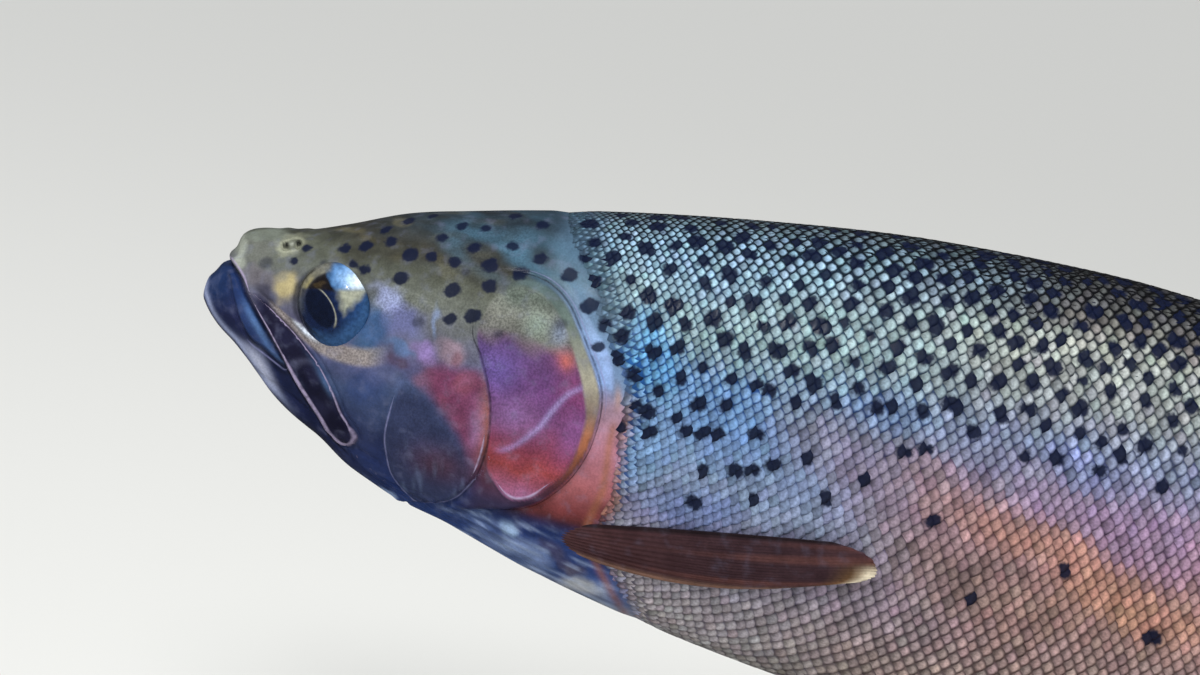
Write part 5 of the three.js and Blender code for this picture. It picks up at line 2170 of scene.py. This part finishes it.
# ------------------------------------------------------------------ the stand
@dataclass
class Stand:
    """The display stand: the solids' plate and rods in walnut and brass, with a brass collar at each rod."""

    collar_radius: float = 6.5
    collar_height: float = 5.0

    def build(self) -> None:
        """Finishes the stand's solids and adds the collars."""
        brass = TurnedBrass().material()
        self.finish("stand_base", OiledWalnut().material())
        for rod in ("stand_rod_front", "stand_rod_rear"):
            self.finish(rod, brass)
            self.collar(rod, brass)

    def finish(self, node: str, material: bpy.types.Material) -> None:
        """Gives one of the stand's solids its material.

        Args:
            node: The solid's name.
            material: Its finish.
        """
        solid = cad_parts[node]
        solid.data.materials.clear()
        solid.data.materials.append(material)

    def collar(self, rod: str, material: bpy.types.Material) -> bpy.types.Object:
        """Turns a stepped collar round a rod's foot.

        Args:
            rod: The rod's name.
            material: The collar's finish.

        Returns:
            The piece.
        """
        low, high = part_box(rod)
        base_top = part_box("stand_base")[1][2]
        bore = (high[0] - low[0]) / 2 + 0.05 * MM
        wide, tall = self.collar_radius * MM, self.collar_height * MM
        profile = (
            (bore, 0), (wide, 0), (wide, 0.3 * tall), (0.82 * wide, 0.45 * tall), (0.72 * wide, tall),
            (bore, tall),
        )
        bm = bmesh.new()
        ring = [bm.verts.new((r, 0, h)) for r, h in profile]
        edges = [bm.edges.new(pair) for pair in zip(ring, ring[1:] + ring[:1])]
        bmesh.ops.spin(
            bm, geom=ring + edges, axis=(0, 0, 1), cent=(0, 0, 0), steps=48, angle=2 * math.pi, use_merge=True
        )
        bmesh.ops.remove_doubles(bm, verts=bm.verts, dist=1e-6)
        sharp = [e for e in bm.edges if len(e.link_faces) == 2 and e.calc_face_angle(0) > 0.4]
        bmesh.ops.bevel(
            bm, geom=sharp, offset=0.35 * MM, segments=3, profile=0.5, affect="EDGES", material=-1
        )
        bmesh.ops.recalc_face_normals(bm, faces=bm.faces)
        middle = Vector(((low[0] + high[0]) / 2, (low[1] + high[1]) / 2, base_top + 0.02 * MM))
        bmesh.ops.translate(bm, verts=bm.verts, vec=middle)
        piece = new_piece(rod.replace("rod", "collar"), finished(bm, "collar"), material)
        return piece


# ------------------------------------------------------------------ the studio
@dataclass
class Studio:
    """A pale floor, soft lamps and the camera, which looks at the left flank from a little above."""

    place: FishPlace
    aim: tuple[float, float] = (92.4, 3.4)
    distance: float = 650.0
    lens: float = 79.95
    above: float = 10.0
    roll: float = 13.0

    def build(self) -> None:
        """Builds the floor, the world, the lamps and the camera."""
        self.floor()
        self.world()
        self.sun("daylight", (-0.35, -0.75, 0.95), strength=1.7, wide=40.0)
        self.lamp("key", (-0.25, -0.75, 0.85), size=0.4, watts=4.3, shines=False)
        self.lamp("top", (0.3, 0.0, 1.1), size=0.4, watts=3.0, shines=False)
        self.lamp("glint", (-0.3, -0.8, 0.75), size=0.07, watts=0.25)
        self.camera()

    def floor(self) -> None:
        """Lays the floor, far larger than the view."""
        bm = bmesh.new()
        bmesh.ops.create_grid(bm, x_segments=1, y_segments=1, size=400.0)
        mesh = finished(bm, "floor")
        finish = {"Base Color": rgba("#dcdcd8"), "Roughness": 0.85}
        mesh.materials.append(Recipe("pale studio floor", ior=1.45).finish(finish))
        floor = bpy.data.objects.new("floor", mesh)
        floor.visible_glossy = False  # like the sun, it would veil the deep colours
        bpy.context.scene.collection.objects.link(floor)

    def world(self) -> None:
        """Sets an even pale sky for the soft light, dimmer in reflections so that colours stay deep."""
        world = bpy.data.worlds.new("studio")
        bpy.context.scene.world = world
        world.use_nodes = True
        tree = world.node_tree
        rays = add_node(tree, "LightPath", {}).outputs
        lit = {0: rays["Is Glossy Ray"], 2: 0.6, 3: 0.06}
        lit = add_node(tree, "Mix", lit, data_type="FLOAT").outputs[0]
        seen = {0: rays["Is Camera Ray"], 2: lit, 3: 0.74}
        seen = add_node(tree, "Mix", seen, data_type="FLOAT").outputs[0]
        connect(tree, tree.nodes["Background"], {"Color": rgba("#f1f3f6"), "Strength": seen})

    def sun(self, name: str, toward_it: tuple[float, float, float], strength: float, wide: float) -> None:
        """Sets a wide soft sun, which lights fish and floor evenly.

        Args:
            name: The light's name.
            toward_it: The way to the sun.
            strength: How strong it is.
            wide: Its width in degrees.
        """
        light = bpy.data.lights.new(name, "SUN")
        light.energy = strength
        light.angle = math.radians(wide)
        sun = bpy.data.objects.new(name, light)
        sun.rotation_euler = Vector(toward_it).to_track_quat("Z", "Y").to_euler()
        sun.visible_glossy = False  # its broad shine would veil the deep colours
        bpy.context.scene.collection.objects.link(sun)

    def lamp(
        self, name: str, where: tuple[float, float, float], size: float, watts: float, shines: bool = True
    ) -> None:
        """Hangs a round soft lamp that looks at the fish.

        Args:
            name: The lamp's name.
            where: Its place, in metres.
            size: Its width, in metres.
            watts: How strong it is.
            shines: Whether a wet surface mirrors it.
        """
        light = bpy.data.lights.new(name, "AREA")
        light.shape = "DISK"
        light.size = size
        light.energy = watts
        lamp = bpy.data.objects.new(name, light)
        lamp.location = where
        lamp.visible_glossy = shines
        target = Vector((-0.05, 0, 0.15))
        lamp.rotation_euler = (target - lamp.location).to_track_quat("-Z", "Y").to_euler()
        bpy.context.scene.collection.objects.link(lamp)

    def camera(self) -> None:
        """Sets the camera, rolled so that the fish's back runs down to the right."""
        scene = bpy.context.scene
        data = bpy.data.cameras.new("camera")
        data.sensor_width = 36.0
        data.lens = self.lens
        camera = bpy.data.objects.new("camera", data)
        scene.collection.objects.link(camera)
        target = Vector(self.place.posed(np.array([[self.aim[0], 0.0, self.aim[1]]]))[0])
        tilt = math.radians(self.above)
        away = Vector((0, -math.cos(tilt), math.sin(tilt)))
        camera.location = target + away * self.distance * MM
        level = Euler((math.pi / 2 - tilt, 0, 0)).to_matrix()
        turn = Matrix.Rotation(math.radians(self.roll), 3, "Z")
        camera.rotation_euler = (level @ turn).to_euler()
        scene.camera = camera
        scene.view_settings.view_transform = "Standard"


# ------------------------------------------------------------------ the whole model
SPOTTED = FinTone("#5d604c", "#6b6c55", "#8b8a70", "#4a4b3b", "#9a9680", spots=1.0)
PALE_FIN = FinTone("#9a8074", "#a5796a", "#c19a86", "#e6ddd2", "#d8c8ba", edge_width=0.09)
PECTORAL = FinTone(
    "#44282a", "#332026", "#40282c", "#120d11", "#e4d9c0", edge_width=0.07, tip_width=0.04, last="#8c6a58",
)
TAIL = FinTone(
    "#5c6050", "#5e5f4c", "#86846c", "#45473a", "#4c4c40", spots=0.9, edge_width=0.02, base=(
        (0, "#2c2e30"), (0.25, "#5c6672"), (0.42, "#7a6f92"), (0.55, "#9a6f80"), (0.8, "#8a7670"),
        (1, "#8f827c"),
    ),
)


def fins(form: TroutForm) -> list[Fin]:
    """Lists every fin with its own sizes, the same as the solids'.

    Args:
        form: The body that the paired fins leave.

    Returns:
        The fins.
    """
    made = [
        Fin("dorsal_fin", "spotted_fin", ((229, 42), (287, 32.5)), (44, 20), (50, 56, 55, 49, 41, 33, 27),
            SPOTTED, bend=(-10, -1), rays=12),
        Fin("adipose_fin", "spotted_fin", ((363, 11), (377, 8)), (46, 22), (19, 23, 25, 25, 22, 17),
            FinTone("#595c48", "#5d5f4a", "#62644f", "#1b1c1e", "#22231f", spots=0.8), bend=(-3, 0),
            thick=(4, 2), rays=5, rows=26, ray_height=0.05),
        Fin("anal_fin", "pale_fin", ((331, -46), (376, -36)), (-60, -26), (38, 47, 45, 38, 31, 26, 22),
            PALE_FIN, bend=(7, 1), rays=11),
        Fin("tail_fin", "spotted_fin", ((454, 8), (454, -34.5)), (41, -41),
            (73, 82, 76, 68, 62, 60, 62, 68, 76, 82, 73), TAIL, bend=(-9, 9), thick=(4.4, 1.1), rays=18,
            wave=1.0),
    ]
    for side in Side:
        word = side.name.lower()
        made.append(Fin(
            f"pectoral_fin_{word}", "dark_fin", ((86, -40.5), (87.5, -44.2)), (14.6, -13.2),
            (72, 78, 80.5, 80.5, 78, 74), PECTORAL, bend=(-3.3, 26.4), thick=(3.4, 1.2), rays=11,
            ray_height=0.06, fray=0.004, wave=0.0, stand=AlongFlank(form, side),
        ))
        made.append(Fin(
            f"pelvic_fin_{word}", "pale_fin", ((0, 2.5), (3, -5.5)), (-6, -26), (44, 52, 51, 46, 39, 32),
            PALE_FIN, bend=(1, 6), thick=(3.6, 1.1), rays=9, wave=0.3, stand=UnderBelly(form, side),
        ))
    return made


def main() -> None:
    """Builds the model piece by piece."""
    logging.basicConfig(level=logging.INFO, format="%(message)s")
    form, place, lines, eye = TroutForm(), FishPlace(), HeadLines(), EyePlace()
    markings = Markings(form, lines, eye)
    Studio(place).build()
    Stand().build()
    Skin(form, place, markings).build()
    scale = WetScale("wet trout scales", markings.black).material()
    for side in Side:
        ScaleCoat(form, place, markings, SpotField(form), side).build(scale)
    membrane = WetSkin("wet fin membrane", coat=0.2, grain=0.16, grain_mm=0.8, mottle=0.1).material()
    for fin in fins(form):
        fin.build(place, membrane)
    glass = GlassEye().material()
    for side in Side:
        Eye(form, eye, side).build(place, glass)


if __name__ == "__main__":
    main()
